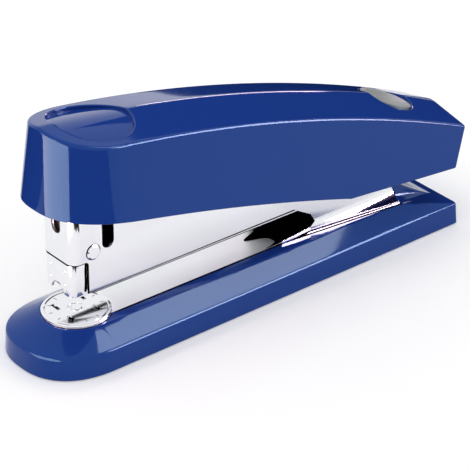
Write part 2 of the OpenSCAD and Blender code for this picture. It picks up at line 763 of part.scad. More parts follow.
module cap_shell() {
    color(blue) difference() {
        union() {
            difference() {
                cap_solid(0, 0, 0);
                cap_solid(cap_wall, cap_wall, 2);
            }
            intersection() {
                cap_solid(0.5, 0.5, 0);
                cap_inside();
            }
        }
        on_ridge(thumb_x) difference() {
            translate([0, 0, -8]) cylinder(r = thumb_r, h = 28);
            dish_floor(0);
        }
        on_ridge(button_x) {
            translate([0, 0, -1.6]) linear_extrude(20) button_oval(1);
            translate([0, 0, -20]) linear_extrude(40) button_oval(slide_gap);
        }
        for (side = [-1, 1])
            translate([screw_place, side * screw_y, carrier_top - cut]) cylinder(r = 0.9, h = carrier_bite + cut + 0.4);
        crossbar(pin_x, pin_z, pin_r + pin_gap, 20);
    }
}

// Depth of the dish's floor below the ridge: shallow at the ridge and falling to both sides
function dish_fall(y) = dish_drop + (ridge_rise * thumb_r / cap_top_half + dish_sink)
    * (sqrt(y * y + dish_blend * dish_blend) - dish_blend)
    / (sqrt(thumb_r * thumb_r + dish_blend * dish_blend) - dish_blend);

// Everything below the arched floor of the thumb dish
module dish_floor(extra) {
    half = thumb_r + cap_wall + extra;
    along(-half, half) polygon(concat([[-half, -20], [half, -20]],
        [for (i = [12:-1:-12]) let (y = half * i / 12) [y, -dish_fall(y)]]));
}

// Hinge lugs, screw bosses, spring seat and ribs under the roof
module cap_inside() {
    for (side = [-1, 1]) {
        translate([0, side * (lug_y + lug_t / 2), 0]) {
            crossbar(pin_x, pin_z, lug_r, lug_t / 2);
            translate([pin_x - lug_r, -lug_t / 2, pin_z]) cube([2 * lug_r, lug_t, 40]);
        }
        translate([screw_place, side * screw_y, carrier_top]) cylinder(r = 2.4, h = 12);
    }
    on_ridge(thumb_x) difference() {
        translate([0, 0, -12]) cylinder(r = thumb_r + cap_wall, h = 14);
        translate([0, 0, -cap_wall]) dish_floor(cut);
    }
    translate([lift_x, 0, lift_top]) difference() {
        cylinder(r = 7.6, h = 12);
        translate([0, 0, -cut]) cylinder(r = 6.4, h = 12 + cut);
    }
    for (x = [48, 72, 96])
        translate([x, -cap_half, ridge_z(x) - 9]) cube([1.6, 2 * cap_half, 12]);
    on_ridge(button_x) translate([0, 0, -6]) difference() {
        linear_extrude(5) button_oval(1.8);
        translate([0, 0, -cut]) linear_extrude(8) button_oval(slide_gap);
    }
}

// Oval button with a dished face, a skirt and a stem that reaches the latch lever
module release_button() {
    face = 1.3;
    color(button_green) on_ridge(button_x) difference() {
        union() {
            translate([0, 0, -face - 2]) linear_extrude(2) button_oval(0);
            translate([0, 0, -face - 4.2]) cylinder(r = 2.6, h = 3);
        }
        translate([0, 0, 60 - face - 0.6]) sphere(r = 60, $fn = 96);
    }
}

// Folded plate under the cap roof: ears carry the guide pin, its front edge holds the blade
module driver_carrier() {
    ear_x0 = -2;
    ear_x1 = 12;
    ear_y = carrier_half;
    ear_t = 1;
    ear_z = guide_pin_z + 1.5;
    web_z = blade_z + blade_len - 7.3;
    web_h = carrier_top - (pin_x - blade_x) * sin(cap_travel) - 0.6 - web_z;
    color(steel) difference() {
        union() {
            translate([ear_x0, -ear_y, carrier_top - 1.2]) cube([18, 2 * ear_y, 1.2]);
            for (y = [-ear_y, ear_y - ear_t]) {
                translate([ear_x0, y, ear_z]) cube([ear_x1 - ear_x0, ear_t, carrier_top - ear_z - 0.2]);
                translate([guide_pin_x - 2.6, y, guide_pin_z - 2.2]) cube([6, ear_t, 8]);
            }
            upright_blade() translate([blade_x + blade_t, -ear_y + ear_t / 2, web_z])
                cube([1, 2 * ear_y - ear_t, web_h]);
        }
        crossbar(guide_pin_x, guide_pin_z, guide_pin_r, 20);
        for (side = [-1, 1])
            translate([screw_place, side * screw_y, carrier_top - 3]) cylinder(r = 1.1, h = 6);
    }
}

// Turns children from the pressed pose of the cap, as built, back to its rest pose
module upright_blade() {
    translate([pin_x, 0, pin_z]) rotate([0, cap_travel, 0]) translate([-pin_x, 0, -pin_z]) children();
}

module driver_blade() {
    color(steel) upright_blade() difference() {
        translate([blade_x, -blade_w / 2, blade_z]) cube([blade_t, blade_w, blade_len]);
        translate([blade_x - cut, -2, blade_z + blade_len - 6]) cube([3, 4, 3]);
    }
}

module carrier_screws() {
    color(steel) for (side = [-1, 1])
        translate([screw_place, side * screw_y, carrier_top]) {
            translate([0, 0, -2.6]) cylinder(r = 2, h = 1.4);
            translate([0, 0, -1.4]) cylinder(r = 0.9, h = 1.4 + carrier_bite);
        }
}

module guide_pin() {
    color(steel) crossbar(guide_pin_x, guide_pin_z, guide_pin_r, hood_half - 0.2);
}

// Compression spring between the hood and the cap
module lift_spring() {
    wire_r = 0.55;
    turns = 6;
    steps = 14;
    z0 = roof_z(lift_x) + wire_r + 0.35;
    z1 = ridge_z(lift_x + 6) - cap_wall - wire_r - 0.35;
    color(steel) wire([for (i = [0:turns * steps]) let (a = 360 * i / steps)
        [lift_x + 5.2 * cos(a), 5.2 * sin(a), z0 + (z1 - z0) * i / (turns * steps)]], wire_r, [0, 0, 1], 6);
}

module button_spring() {
    wire_r = 0.3;
    turns = 4;
    steps = 12;
    color(steel) on_ridge(button_x) wire([for (i = [0:turns * steps]) let (a = 360 * i / steps)
        [5 * cos(a), 5 * sin(a), -7.4 + 3.7 * i / (turns * steps)]], wire_r, [0, 0, 1], 5);
}

base_shell();
base_pad();
base_screws();
base_plate();
rear_bracket();
spring_block();
hinge_pin();
pin_clips();
return_spring();
anvil_stud();
anvil_spring();
anvil_disc();
hood();
hood_rivets();
front_guide();
guide_rod();
rod_holder();
latch_pin();
latch_lever();
magazine_channel();
magazine_nose();
staple_rail();
pusher();
pusher_spring();
cap_shell();
driver_carrier();
driver_blade();
carrier_screws();
guide_pin();
lift_spring();
release_button();
button_spring();
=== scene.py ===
"""Looks of a manual desk stapler: glossy blue shells, chrome sheet metal and a white studio."""
import logging
import math
from collections.abc import Iterator
from contextlib import contextmanager
from dataclasses import dataclass
from enum import Enum
from typing import ClassVar

import bmesh
import bpy
import numpy as np
from mathutils import Matrix, Quaternion, Vector


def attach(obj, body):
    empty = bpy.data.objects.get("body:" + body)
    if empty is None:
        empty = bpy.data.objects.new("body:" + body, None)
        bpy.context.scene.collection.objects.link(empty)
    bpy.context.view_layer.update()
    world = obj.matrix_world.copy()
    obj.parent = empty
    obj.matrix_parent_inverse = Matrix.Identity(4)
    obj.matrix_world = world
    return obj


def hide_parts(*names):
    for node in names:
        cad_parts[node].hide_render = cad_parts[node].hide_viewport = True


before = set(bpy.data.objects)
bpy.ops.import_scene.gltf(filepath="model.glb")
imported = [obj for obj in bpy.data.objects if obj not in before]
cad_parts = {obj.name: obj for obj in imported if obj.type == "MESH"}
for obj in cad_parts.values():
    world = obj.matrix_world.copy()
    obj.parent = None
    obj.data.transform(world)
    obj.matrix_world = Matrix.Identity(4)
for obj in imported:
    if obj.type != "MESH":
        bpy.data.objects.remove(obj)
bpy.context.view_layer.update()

MM = 0.001
WELD = 2e-6
TINY = 1e-6
LAP = 0.05
DECIMETRE = 100.0
NOISE_DRIFT = (22.0, 3.0)
NOISE_HAZE = (60.0, 4.0)
GRAIN_DETAIL = 2.0
HAZE_BAND = (0.3, 0.7)
Triple = tuple[float, float, float]
log = logging.getLogger("stapler")


class Axis(Enum):
    """Axes that a solid can run along, each as the order that brings its points to X, Y and Z."""

    X = (2, 0, 1)
    Y = (0, 2, 1)
    Z = (0, 1, 2)


def place(name: str, data: bpy.types.ID) -> bpy.types.Object:
    """Makes an object at the origin and puts it in the scene.

    Args:
        name: the object's name.
        data: its mesh, lamp or camera.

    Returns:
        The new object.
    """
    obj = bpy.data.objects.new(name, data)
    bpy.context.scene.collection.objects.link(obj)
    return obj


@contextmanager
def editing(mesh: bpy.types.Mesh) -> Iterator[bmesh.types.BMesh]:
    """Opens a mesh for editing and writes the edits back.

    Args:
        mesh: the mesh to edit.

    Yields:
        Its editable form.
    """
    bm = bmesh.new()
    bm.from_mesh(mesh)
    yield bm
    bm.to_mesh(mesh)
    bm.free()


def linear(colour: Triple) -> tuple[float, float, float, float]:
    """Turns a display colour into a linear one with full alpha.

    Args:
        colour: red, green and blue from 0 to 1, as seen on a screen.

    Returns:
        The linear colour that a shader socket takes.
    """
    c = np.asarray(colour)
    low, high = c / 12.92, ((c + 0.055) / 1.055) ** 2.4
    return (*np.where(c <= 0.04045, low, high).tolist(), 1.0)


@dataclass(frozen=True)
class Finish:
    """A procedural surface finish: colour drift, gloss drift and a fine bump.

    Attributes:
        name: the material's name.
        colour: display colour.
        metallic: 0 for plastic and rubber, 1 for metal.
        roughness: lowest roughness.
        drift: how far the colour darkens in its drift.
        wear: how far the roughness rises in its drift.
        grain: noise scale of the bump, per metre.
        bump: depth of the bump in metres.
        stretch: pattern scale along X, Y and Z, for brushed or drawn metal.
        specular: the shader's specular level.
        tint: colour of the reflection at a steep view.
        ior: index of refraction; 1 takes the reflection away.
    """

    name: str
    colour: Triple
    metallic: float = 0.0
    roughness: float = 0.3
    drift: float = 0.06
    wear: float = 0.06
    grain: float = 900.0
    bump: float = 4e-6
    stretch: Triple = (1.0, 1.0, 1.0)
    specular: float = 0.5
    tint: Triple = (1.0, 1.0, 1.0)
    ior: float = 1.5

    def material(self) -> bpy.types.Material:
        """Builds the node material once and returns it after that.

        Returns:
            The material.
        """
        made = bpy.data.materials.get(self.name)
        if made is not None:
            return made
        mat = bpy.data.materials.new(self.name)
        mat.use_nodes = True
        nodes, links = mat.node_tree.nodes, mat.node_tree.links
        shader = nodes["Principled BSDF"]
        coords = nodes.new("ShaderNodeTexCoord")
        mapping = nodes.new("ShaderNodeMapping")
        mapping.inputs["Scale"].default_value = self.stretch
        links.new(coords.outputs["Object"], mapping.inputs["Vector"])
        drift = self._noise(nodes, links, mapping, *NOISE_DRIFT)
        tint = nodes.new("ShaderNodeMix")
        tint.data_type = "RGBA"
        base = linear(self.colour)
        tint.inputs["A"].default_value = base
        tint.inputs["B"].default_value = (*[v * (1 - self.drift) for v in base[:3]], 1.0)
        links.new(drift.outputs["Fac"], tint.inputs["Factor"])
        links.new(tint.outputs["Result"], shader.inputs["Base Color"])
        gloss = nodes.new("ShaderNodeMapRange")
        gloss.inputs["From Min"].default_value = HAZE_BAND[0]
        gloss.inputs["From Max"].default_value = HAZE_BAND[1]
        gloss.inputs["To Min"].default_value = self.roughness
        gloss.inputs["To Max"].default_value = self.roughness + self.wear
        haze = self._noise(nodes, links, mapping, *NOISE_HAZE)
        links.new(haze.outputs["Fac"], gloss.inputs["Value"])
        links.new(gloss.outputs["Result"], shader.inputs["Roughness"])
        grain = self._noise(nodes, links, mapping, self.grain, GRAIN_DETAIL)
        bump = nodes.new("ShaderNodeBump")
        bump.inputs["Strength"].default_value = 1.0
        bump.inputs["Distance"].default_value = self.bump
        links.new(grain.outputs["Fac"], bump.inputs["Height"])
        links.new(bump.outputs["Normal"], shader.inputs["Normal"])
        shader.inputs["Metallic"].default_value = self.metallic
        shader.inputs["IOR"].default_value = self.ior
        shader.inputs["Specular IOR Level"].default_value = self.specular
        shader.inputs["Specular Tint"].default_value = (*self.tint, 1.0)
        return mat

    @staticmethod
    def _noise(nodes: bpy.types.Nodes, links: bpy.types.NodeLinks, mapping: bpy.types.Node,
               scale: float, detail: float) -> bpy.types.Node:
        """Adds a noise texture that reads the mapping node.

        Args:
            nodes: nodes of the material.
            links: links of the material.
            mapping: node whose vector the noise reads.
            scale: cells per metre.
            detail: octaves.

        Returns:
            The noise node.
        """
        noise = nodes.new("ShaderNodeTexNoise")
        noise.inputs["Scale"].default_value = scale
        noise.inputs["Detail"].default_value = detail
        links.new(mapping.outputs["Vector"], noise.inputs["Vector"])
        return noise


BLUE = Finish("blue_gloss", (0.115, 0.24, 0.565), roughness=0.05, wear=0.02, grain=500.0, bump=8e-7,
              specular=0.3, tint=(0.35, 0.75, 1.0))
CHROME = Finish("polished_chrome", (0.93, 0.935, 0.95), metallic=1.0, roughness=0.07, wear=0.05,
                drift=0.03, grain=1500.0, bump=6e-7)
SATIN = Finish("satin_plate", (0.95, 0.985, 0.985), metallic=0.6, roughness=0.34, drift=0.02,
               grain=1500.0, bump=1e-6)
STEEL = Finish("zinc_steel", (0.74, 0.75, 0.77), metallic=1.0, roughness=0.24, wear=0.1, grain=2500.0,
               bump=2e-6, stretch=(0.15, 1.0, 1.0))
WIRE = Finish("spring_wire", (0.62, 0.63, 0.66), metallic=1.0, roughness=0.2, wear=0.1, grain=3000.0,
              bump=2e-6)
# Matt black without reflection: the colour of the real black plastic parts, and of the black pieces that
# paint shade in gaps, recesses and the pocket bottoms.
BLACK = Finish("matt_black", (0.012, 0.009, 0.01), roughness=0.45, wear=0.1, grain=1800.0, specular=0.0,
               ior=1.03)
# Dark green that paints the shade on the walls of the button's recess.
SHADE_GREEN = Finish("painted_shade_green", (0.09, 0.17, 0.15), roughness=0.35, wear=0.1, grain=1800.0, bump=3e-6,
              specular=0.2)
RUBBER = Finish("soft_rubber", (0.075, 0.075, 0.08), roughness=0.7, wear=0.12, grain=2400.0, bump=1.5e-5)
PEARL = Finish("pearl_green", (0.52, 0.58, 0.56), metallic=0.35, wear=0.08, grain=1400.0, bump=3e-6)

NODE_FINISH: dict[str, Finish] = {
    "base_shell": BLUE, "cap_shell": BLUE, "base_pad": RUBBER, "release_button": PEARL,
    "base_plate": CHROME, "rear_bracket": CHROME, "hood": CHROME, "magazine_nose": CHROME,
    "magazine_channel": CHROME, "anvil_disc": CHROME, "anvil_stud": CHROME, "hood_rivets": CHROME,
    "spring_block": BLACK, "front_guide": BLACK, "pusher": BLACK,
    "return_spring": WIRE, "pusher_spring": WIRE, "lift_spring": WIRE, "button_spring": WIRE,
    "anvil_spring": WIRE,
}


class Patchwork:
    """Collects grids of points and joins them into one welded, smooth mesh."""

    def __init__(self) -> None:
        """Starts with no points and no faces."""
        self.points: list[np.ndarray] = []
        self.faces: list[np.ndarray] = []
        self.count = 0

    def grid(self, points: np.ndarray, loop: bool = False) -> None:
        """Adds a sheet of quads over a grid of points.

        Args:
            points: rows by columns by 3, in millimetres.
            loop: whether the last row joins the first.
        """
        rows, cols = points.shape[:2]
        r, c = np.meshgrid(np.arange(rows if loop else rows - 1), np.arange(cols - 1), indexing="ij")
        nxt = (r + 1) % rows
        quads = np.stack([r * cols + c, r * cols + c + 1, nxt * cols + c + 1, nxt * cols + c], axis=-1)
        self.points.append(points.reshape(-1, 3))
        self.faces.append(quads.reshape(-1, 4) + self.count)
        self.count += rows * cols

    def build(self, name: str, sharp_deg: float = 35.0) -> bpy.types.Object:
        """Makes the object, welds its seams, and turns its faces outwards.

        Args:
            name: the object's name.
            sharp_deg: edges that bend more than this stay sharp.

        Returns:
            The new object, at the origin, with smooth shading.
        """
        mesh = bpy.data.meshes.new(name)
        verts = np.concatenate(self.points) * MM
        mesh.from_pydata(verts.tolist(), [], np.concatenate(self.faces).tolist())
        with editing(mesh) as bm:
            bmesh.ops.remove_doubles(bm, verts=bm.verts, dist=WELD)
            bmesh.ops.dissolve_degenerate(bm, edges=bm.edges, dist=WELD)
            bmesh.ops.recalc_face_normals(bm, faces=bm.faces)
        mesh.shade_smooth()
        mesh.set_sharp_from_angle(angle=math.radians(sharp_deg))
        obj = place(name, mesh)
        shading = obj.modifiers.new("even_shading", "WEIGHTED_NORMAL")
        shading.keep_sharp = True
        return obj


def dress(obj: bpy.types.Object, finish: Finish, body: str, slot: str, *nodes: str) -> None:
    """Gives a new piece its finish and body, and hides the CAD nodes that it stands for.

    Args:
        obj: the piece.
        finish: its finish.
        body: the CAD body it moves with.
        slot: not used.
        nodes: CAD nodes that it replaces.
    """
    obj.data.materials.clear()
    obj.data.materials.append(finish.material())
    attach(obj, body)
    if nodes:
        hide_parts(*nodes)
    log.info("piece %s: %d faces on %s", obj.name, len(obj.data.polygons), body)


def bend(a: np.ndarray, corner: np.ndarray, b: np.ndarray, steps: int) -> np.ndarray:
    """Rounds a corner with a quadratic curve: a(1-t)^2 + 2 corner t(1-t) + b t^2.

    Args:
        a: start points, N by 3.
        corner: corner points, N by 3.
        b: end points, N by 3.
        steps: how many points each curve gets.

    Returns:
        N by steps by 3 points.
    """
    t = np.linspace(0.0, 1.0, steps)[None, :, None]
    return a[:, None] * (1 - t) ** 2 + 2 * corner[:, None] * t * (1 - t) + b[:, None] * t ** 2


def both_sides(half: np.ndarray) -> np.ndarray:
    """Mirrors half a loop across y = 0 into a whole loop that starts at the rear.

    Args:
        half: N by 3 points from the front tip to the rear, with y at or above 0.

    Returns:
        The closed loop, with the front tip and rear centre once each.
    """
    flipped = half * np.array([1.0, -1.0, 1.0])
    return np.concatenate([half[::-1], flipped[1:-1] if abs(half[-1, 1]) < TINY else flipped[1:]])


def inward(loop: np.ndarray, reach: float) -> np.ndarray:
    """Moves a plan loop inwards by reach along its normals in X and Y.

    Args:
        loop: N by 3 points, anticlockwise from above.
        reach: distance in millimetres.

    Returns:
        The moved loop with the same heights.
    """
    step = np.roll(loop, -1, axis=0) - np.roll(loop, 1, axis=0)
    normal = np.stack([-step[:, 1], step[:, 0]], axis=1)
    normal /= np.linalg.norm(normal, axis=1, keepdims=True)
    out = loop.copy()
    out[:, :2] += normal * reach
    return out


def ruled(a: np.ndarray, b: np.ndarray, steps: int) -> np.ndarray:
    """Carries straight lines from a to b: a(1-t) + b t.

    Args:
        a: start points, N by 3.
        b: end points, N by 3.
        steps: how many points each line gets.

    Returns:
        N by steps by 3 points.
    """
    t = np.linspace(0.0, 1.0, steps)[None, :, None]
    return a[:, None] * (1 - t) + b[:, None] * t


def toward(a: np.ndarray, b: np.ndarray, reach: float) -> np.ndarray:
    """Moves points a straight towards points b by reach millimetres."""
    step = b - a
    return a + step / np.linalg.norm(step, axis=1, keepdims=True) * reach


def edge_fillet(outer: np.ndarray, corner: np.ndarray, inner: np.ndarray, radius: float,
                steps: int = 7) -> np.ndarray:
    """Rounds the edge along a loop between the faces that lead to outer and to inner points.

    Args:
        outer: points further down the first face, N by 3.
        corner: the sharp edge, N by 3.
        inner: points further along the second face, N by 3.
        radius: how far the rounding reaches along each face.
        steps: points across the rounding.

    Returns:
        N by steps by 3 points.
    """
    return bend(toward(corner, outer, radius), corner, toward(corner, inner, radius), steps)


@dataclass
class CapShell:
    """Moulded cap: a ruled wall from rim to edge, a ridged roof with a thumb dish and an oval hole.

    Attributes:
        BORE_ROUNDS: how often a bore's meeting with the roof is worked out again.
        FOOT_SHARE: share of the dish's radius that the rounding at its foot takes.
        rim_half: half-width along the lower rim.
        edge_half: half-width along the upper edge.
        wall: thickness of the shell.
        ridge_rise: height of the ridge above the edges.
        ridge_blend: how gently the roof turns over at the ridge.
        origin_x: where the formulas of the ridge and the rim start.
        ridge_line: height of the ridge there, and its fall and sag over a tenth of a metre.
        rim_line: the same for the front stretch of the rim.
        rim_knots: X and height of the knots of the rim's two straight stretches.
        rim_front: centre, reach and power of the rim's round nose.
        edge_front: centre, reach and power of the upper edge's round nose.
        rim_rear: rear end of the rim.
        edge_rear: rear end of the upper edge.
        dish_x: centre of the thumb dish.
        dish_r: radius of the dish.
        dish_drop: depth of the dish's floor below the roof at the ridge and at its sides.
        dish_blend: how gently the dish's floor turns over under the ridge.
        hole_x: centre of the button's hole.
        hole_half: half-axes of the recess round the button.
        hole_lip: reach and depth of the rounding round the recess.
        hole_depth: depth of the recess and height of its collar's foot.
        collar: how much wider the collar is than the recess.
        borders: where the roof's front, middle and rear patches meet.
        fillet: rounding of the upper edge.
        rim_fillet: rounding of the rim.
        lip: width and depth of the rounding round the dish.
        dish_foot: rounding where the dish's wall meets its floor.
        corner: radius of the rear corners.
        straight_room: how far before the rear end the straight sides stop.
        nose_steps: points round half the nose.
        side_steps: points along a side.
        fan_steps: points along each ray of the roof's round patches.
    """

    BORE_ROUNDS: ClassVar[int] = 6
    FOOT_SHARE: ClassVar[float] = 0.03

    rim_half: float = 21.0
    edge_half: float = 18.55
    wall: float = 2.0
    ridge_rise: float = 3.8
    ridge_blend: float = 0.7
    origin_x: float = 0.8
    ridge_line: Triple = (87.6, 12.26, 9.36)
    rim_line: Triple = (56.08, 19.35, 6.04)
    rim_knots: tuple[tuple[float, float], ...] = ((107.8, 28.4), (147.6, 24.4), (159.9, 23.2))
    rim_front: Triple = (16.8, 33.3, 2.54)
    edge_front: Triple = (8.8, 22.2, 2.1)
    rim_rear: float = 160.5
    edge_rear: float = 166.8
    dish_x: float = 8.3
    dish_r: float = 14.8
    dish_drop: tuple[float, float] = (1.4, 1.7)
    dish_blend: float = 8.0
    hole_x: float = 142.8
    hole_half: tuple[float, float] = (10.0, 11.4)
    hole_lip: tuple[float, float] = (0.4, 0.5)
    hole_depth: tuple[float, float] = (4.5, 2.5)
    collar: float = 0.8
    borders: tuple[float, float] = (30.0, 125.0)
    fillet: float = 1.1
    rim_fillet: float = 0.35
    lip: float = 0.6
    dish_foot: float = 0.35
    corner: float = 1.2
    straight_room: float = 2.7
    nose_steps: int = 44
    side_steps: int = 56
    fan_steps: int = 9

    @property
    def row_shares(self) -> np.ndarray:
        """Shares of the roof's half-width at which its rows lie, closer at the ridge."""
        return np.array([0.0, 0.012, 0.026, 0.045, 0.07, 0.11, 0.2, 0.35, 0.5, 0.65, 0.8, 0.9, 1.0])

    def ridge(self, x: np.ndarray) -> np.ndarray:
        """Height of the ridge: a parabola that falls towards the rear."""
        return self._parabola(x, self.ridge_line)

    def _parabola(self, x: np.ndarray, line: Triple) -> np.ndarray:
        """Height less fall times u and sag times u squared, u being tenths of a metre past origin_x."""
        u = (x - self.origin_x) / DECIMETRE
        return line[0] - line[1] * u - line[2] * u ** 2

    def tilt(self, x: float) -> float:
        """Slope angle of the ridge in radians: the arctangent of its fall at x."""
        fall = self.ridge_line[1] + 2 * self.ridge_line[2] * (x - self.origin_x) / DECIMETRE
        return math.atan(fall / DECIMETRE)

    def roof(self, x: np.ndarray, y: np.ndarray) -> np.ndarray:
        """Height of the roof: the ridge line less a straight fall to the edges, rounded over the ridge."""
        fall = np.sqrt(y ** 2 + self.ridge_blend ** 2) - self.ridge_blend
        return self.ridge(x) - self.ridge_rise * fall / (self.edge_half - self.ridge_blend)

    def rim_z(self, x: np.ndarray) -> np.ndarray:
        """Height of the lower rim: a falling parabola, then two straight stretches over the base.

        Args:
            x: stations in millimetres.

        Returns:
            One height for each station.
        """
        (x0, z0), (x1, z1), (x2, z2) = self.rim_knots
        middle = z0 + (z1 - z0) * (x - x0) / (x1 - x0)
        rear = z1 + (z2 - z1) * (x - x1) / (x2 - x1)
        return np.where(x < x0, self._parabola(x, self.rim_line), np.where(x < x1, middle, rear))

    def _plan(self, front: Triple, half: float, rear: float, corner: float,
              straight_end: float) -> np.ndarray:
        """Half outline in plan: superellipse nose, straight side, round corner, straight rear.

        Args:
            front: centre, reach and power of the nose.
            half: half-width.
            rear: rear end.
            corner: radius of the rear corner.
            straight_end: last station of the straight side.

        Returns:
            N by 2 points from the front tip to the rear centre.
        """
        centre, reach, power = front
        a = np.linspace(0.0, math.pi / 2, self.nose_steps)
        nose = np.stack([centre - reach * np.cos(a).clip(0) ** (2 / power),
                         half * np.sin(a).clip(0) ** (2 / power)], axis=1)
        t = self._side_shares()
        side = np.stack([centre + (straight_end - centre) * t, np.full_like(t, half)], axis=1)
        b = np.linspace(0.0, math.pi / 2, 7)[1:]
        turn = np.stack([rear - corner + corner * np.sin(b), half - corner + corner * np.cos(b)], axis=1)
        back = np.stack([np.full(9, rear), np.linspace(half - corner, 0.0, 10)[1:]], axis=1)
        return np.concatenate([nose, side, turn, back])

    def _side_shares(self) -> np.ndarray:
        """Shares of the side's length at which stations lie; some meet patch borders and rim knots.

        Returns:
            The shares after 0, up to 1.
        """
        centre = self.edge_front[0]
        length = self.edge_rear - self.straight_room - centre
        rim_length = self.rim_rear - self.straight_room - self.rim_front[0]
        marks = [0.0, *((b - centre) / length for b in self.borders),
                 *((x - self.rim_front[0]) / rim_length for x, _ in self.rim_knots[:2]), 1.0]
        marks.sort()
        spans = [np.linspace(m, n, max(4, round((n - m) * self.side_steps)))[1:]
                 for m, n in zip(marks[:-1], marks[1:])]
        return np.concatenate(spans)

    def loops(self, inset: float, drop: float) -> tuple[np.ndarray, np.ndarray]:
        """Rim and upper edge as closed loops with matching points.

        Args:
            inset: distance inwards from the outer faces.
            drop: distance below the outer roof.

        Returns:
            The rim loop and the edge loop, N by 3 each.
        """
        corner = self.corner if inset == 0 else self.corner / 2
        rim, edge = (self._plan((front[0], front[1] - inset, front[2]), half - inset, rear - inset, corner,
                                rear - self.straight_room)
                     for front, half, rear in ((self.rim_front, self.rim_half, self.rim_rear),
                                               (self.edge_front, self.edge_half, self.edge_rear)))
        rim = np.column_stack([rim, self.rim_z(rim[:, 0])])
        edge = np.column_stack([edge, self.roof(edge[:, 0], edge[:, 1]) - drop])
        return both_sides(rim), both_sides(edge)

    def _sheet(self, plan: np.ndarray, drop: float) -> np.ndarray:
        """Lifts plan points onto the roof, drop millimetres below it."""
        return np.dstack([plan[..., :2], self.roof(plan[..., 0], plan[..., 1]) - drop])

    def bored(self, centre_x: float, half: tuple[float, float], angles: np.ndarray,
              drop: float) -> np.ndarray:
        """Where a bore square to the ridge meets the roof.

        The bore's points are centre + (a cos, b sin) turned by the ridge's tilt, and each is raised
        along the bore until it lies on the roof.

        Args:
            centre_x: where the bore's axis crosses the ridge.
            half: half-axes of the bore along X and Y.
            angles: directions from the axis in radians.
            drop: depth below the outer roof.

        Returns:
            N by 3 points.
        """
        t = self.tilt(centre_x)
        u, y = half[0] * np.cos(angles), half[1] * np.sin(angles)
        h = np.zeros_like(u)
        for _ in range(self.BORE_ROUNDS):
            x = centre_x + u * math.cos(t) + h * math.sin(t)
            h = (self.roof(x, y) - drop - self.ridge(centre_x) + u * math.sin(t)) / math.cos(t)
        return np.stack([x, y, self.roof(x, y) - drop], axis=1)

    def below(self, points: np.ndarray, centre_x: float, depth: float) -> np.ndarray:
        """Moves points down the axis of a bore at centre_x by depth."""
        t = self.tilt(centre_x)
        return points - depth * np.array([math.sin(t), 0.0, math.cos(t)])

    def roof_patches(self, work: Patchwork, ring: np.ndarray, drop: float, dish_r: float,
                     hole: tuple[float, float]) -> tuple[np.ndarray, np.ndarray]:
        """Covers the roof inside a ring with three patches that leave the dish and the hole open.

        The front and rear patches run straight from the ring to the bore, ray by ray, and the
        middle one is a plain grid; all three are lifted onto the roof.

        Args:
            work: patchwork that takes the grids.
            ring: closed loop that bounds the roof, anticlockwise from the rear centre.
            drop: distance below the outer roof.
            dish_r: radius left open round the dish.
            hole: half-axes left open round the button.

        Returns:
            The loops round the dish and the hole, with the angle order of their rays.
        """
        low, high = self.borders
        up, down = ring[: len(ring) // 2 + 1], ring[len(ring) // 2 + 1:]
        front = ring[ring[:, 0] <= low + TINY]
        rear_up = up[up[:, 0] >= high - TINY]
        rear_down = down[down[:, 0] >= high - TINY]
        middle = up[(up[:, 0] >= low - TINY) & (up[:, 0] <= high + TINY)][::-1]
        shares = np.concatenate([-self.row_shares[::-1], self.row_shares[1:]])
        half = middle[0, 1]
        x, y = np.meshgrid(middle[:, 0], -shares * half, indexing="ij")
        work.grid(self._sheet(np.dstack([x, y]), drop))
        cross = np.stack([np.full(len(shares), low), shares * half], axis=1)
        outer = np.concatenate([front[:, :2], cross[1:-1]])
        dish = self._rays(work, outer, self.dish_x, (dish_r, dish_r), drop)
        cross = np.stack([np.full(len(shares), high), -shares * half], axis=1)
        outer = np.concatenate([rear_down[:, :2], rear_up[:, :2], cross[1:-1]])
        oval = self._rays(work, outer, self.hole_x, hole, drop)
        return dish, oval

    def _rays(self, work: Patchwork, outer: np.ndarray, centre_x: float, half: tuple[float, float],
              drop: float) -> np.ndarray:
        """Adds a patch of rays from an outer plan loop to a bore.

        Args:
            work: patchwork that takes the grid.
            outer: N by 2 points of the loop.
            centre_x: where the bore's axis crosses the ridge.
            half: half-axes of the bore.
            drop: distance below the outer roof.

        Returns:
            The bore's loop, N by 3.
        """
        angles = np.arctan2(outer[:, 1] / half[1], (outer[:, 0] - centre_x) / half[0])
        inner = self.bored(centre_x, half, angles, drop)
        flat = np.column_stack([outer, np.zeros(len(outer))])
        fan = ruled(flat, inner, self.fan_steps)
        patch = self._sheet(fan, drop)
        patch[:, -1] = inner
        work.grid(patch, loop=True)
        return inner

    def build(self) -> bpy.types.Object:
        """Builds the shell: outer faces, dish, hole, rim and inner faces, welded into one.

        Returns:
            The shell.
        """
        work = Patchwork()
        rim, edge = self.loops(0.0, 0.0)
        rim_in, edge_in = self.loops(self.wall, self.wall)
        inner = inward(edge, 2 * self.wall)
        inner[:, 2] = self.roof(inner[:, 0], inner[:, 1])
        rounding = edge_fillet(rim, edge, inner, self.fillet)
        ring = rounding[:, -1]
        ring[:, 2] = self.roof(ring[:, 0], ring[:, 1])
        foot = edge_fillet(edge, rim, rim_in, self.rim_fillet, 4)[:, ::-1]
        heel = edge_fillet(edge_in, rim_in, rim, self.rim_fillet, 4)
        for sheet in (ruled(rounding[:, 0], foot[:, -1], 14), rounding, foot,
                      ruled(foot[:, 0], heel[:, -1], 2), heel, ruled(heel[:, 0], edge_in, 8)):
            work.grid(sheet, loop=True)
        dish, oval = self.roof_patches(work, ring, 0.0, self.dish_r + self.lip, self.hole_half)
        boss, well = self.roof_patches(work, edge_in, self.wall, self.dish_r + self.wall,
                                       (self.hole_half[0] + self.collar, self.hole_half[1] + self.collar))
        self._dish(work, dish, 0.0)
        self._dish(work, boss, self.wall)
        self._hole(work, oval, well)
        return work.build("cap_cover", sharp_deg=18.0)

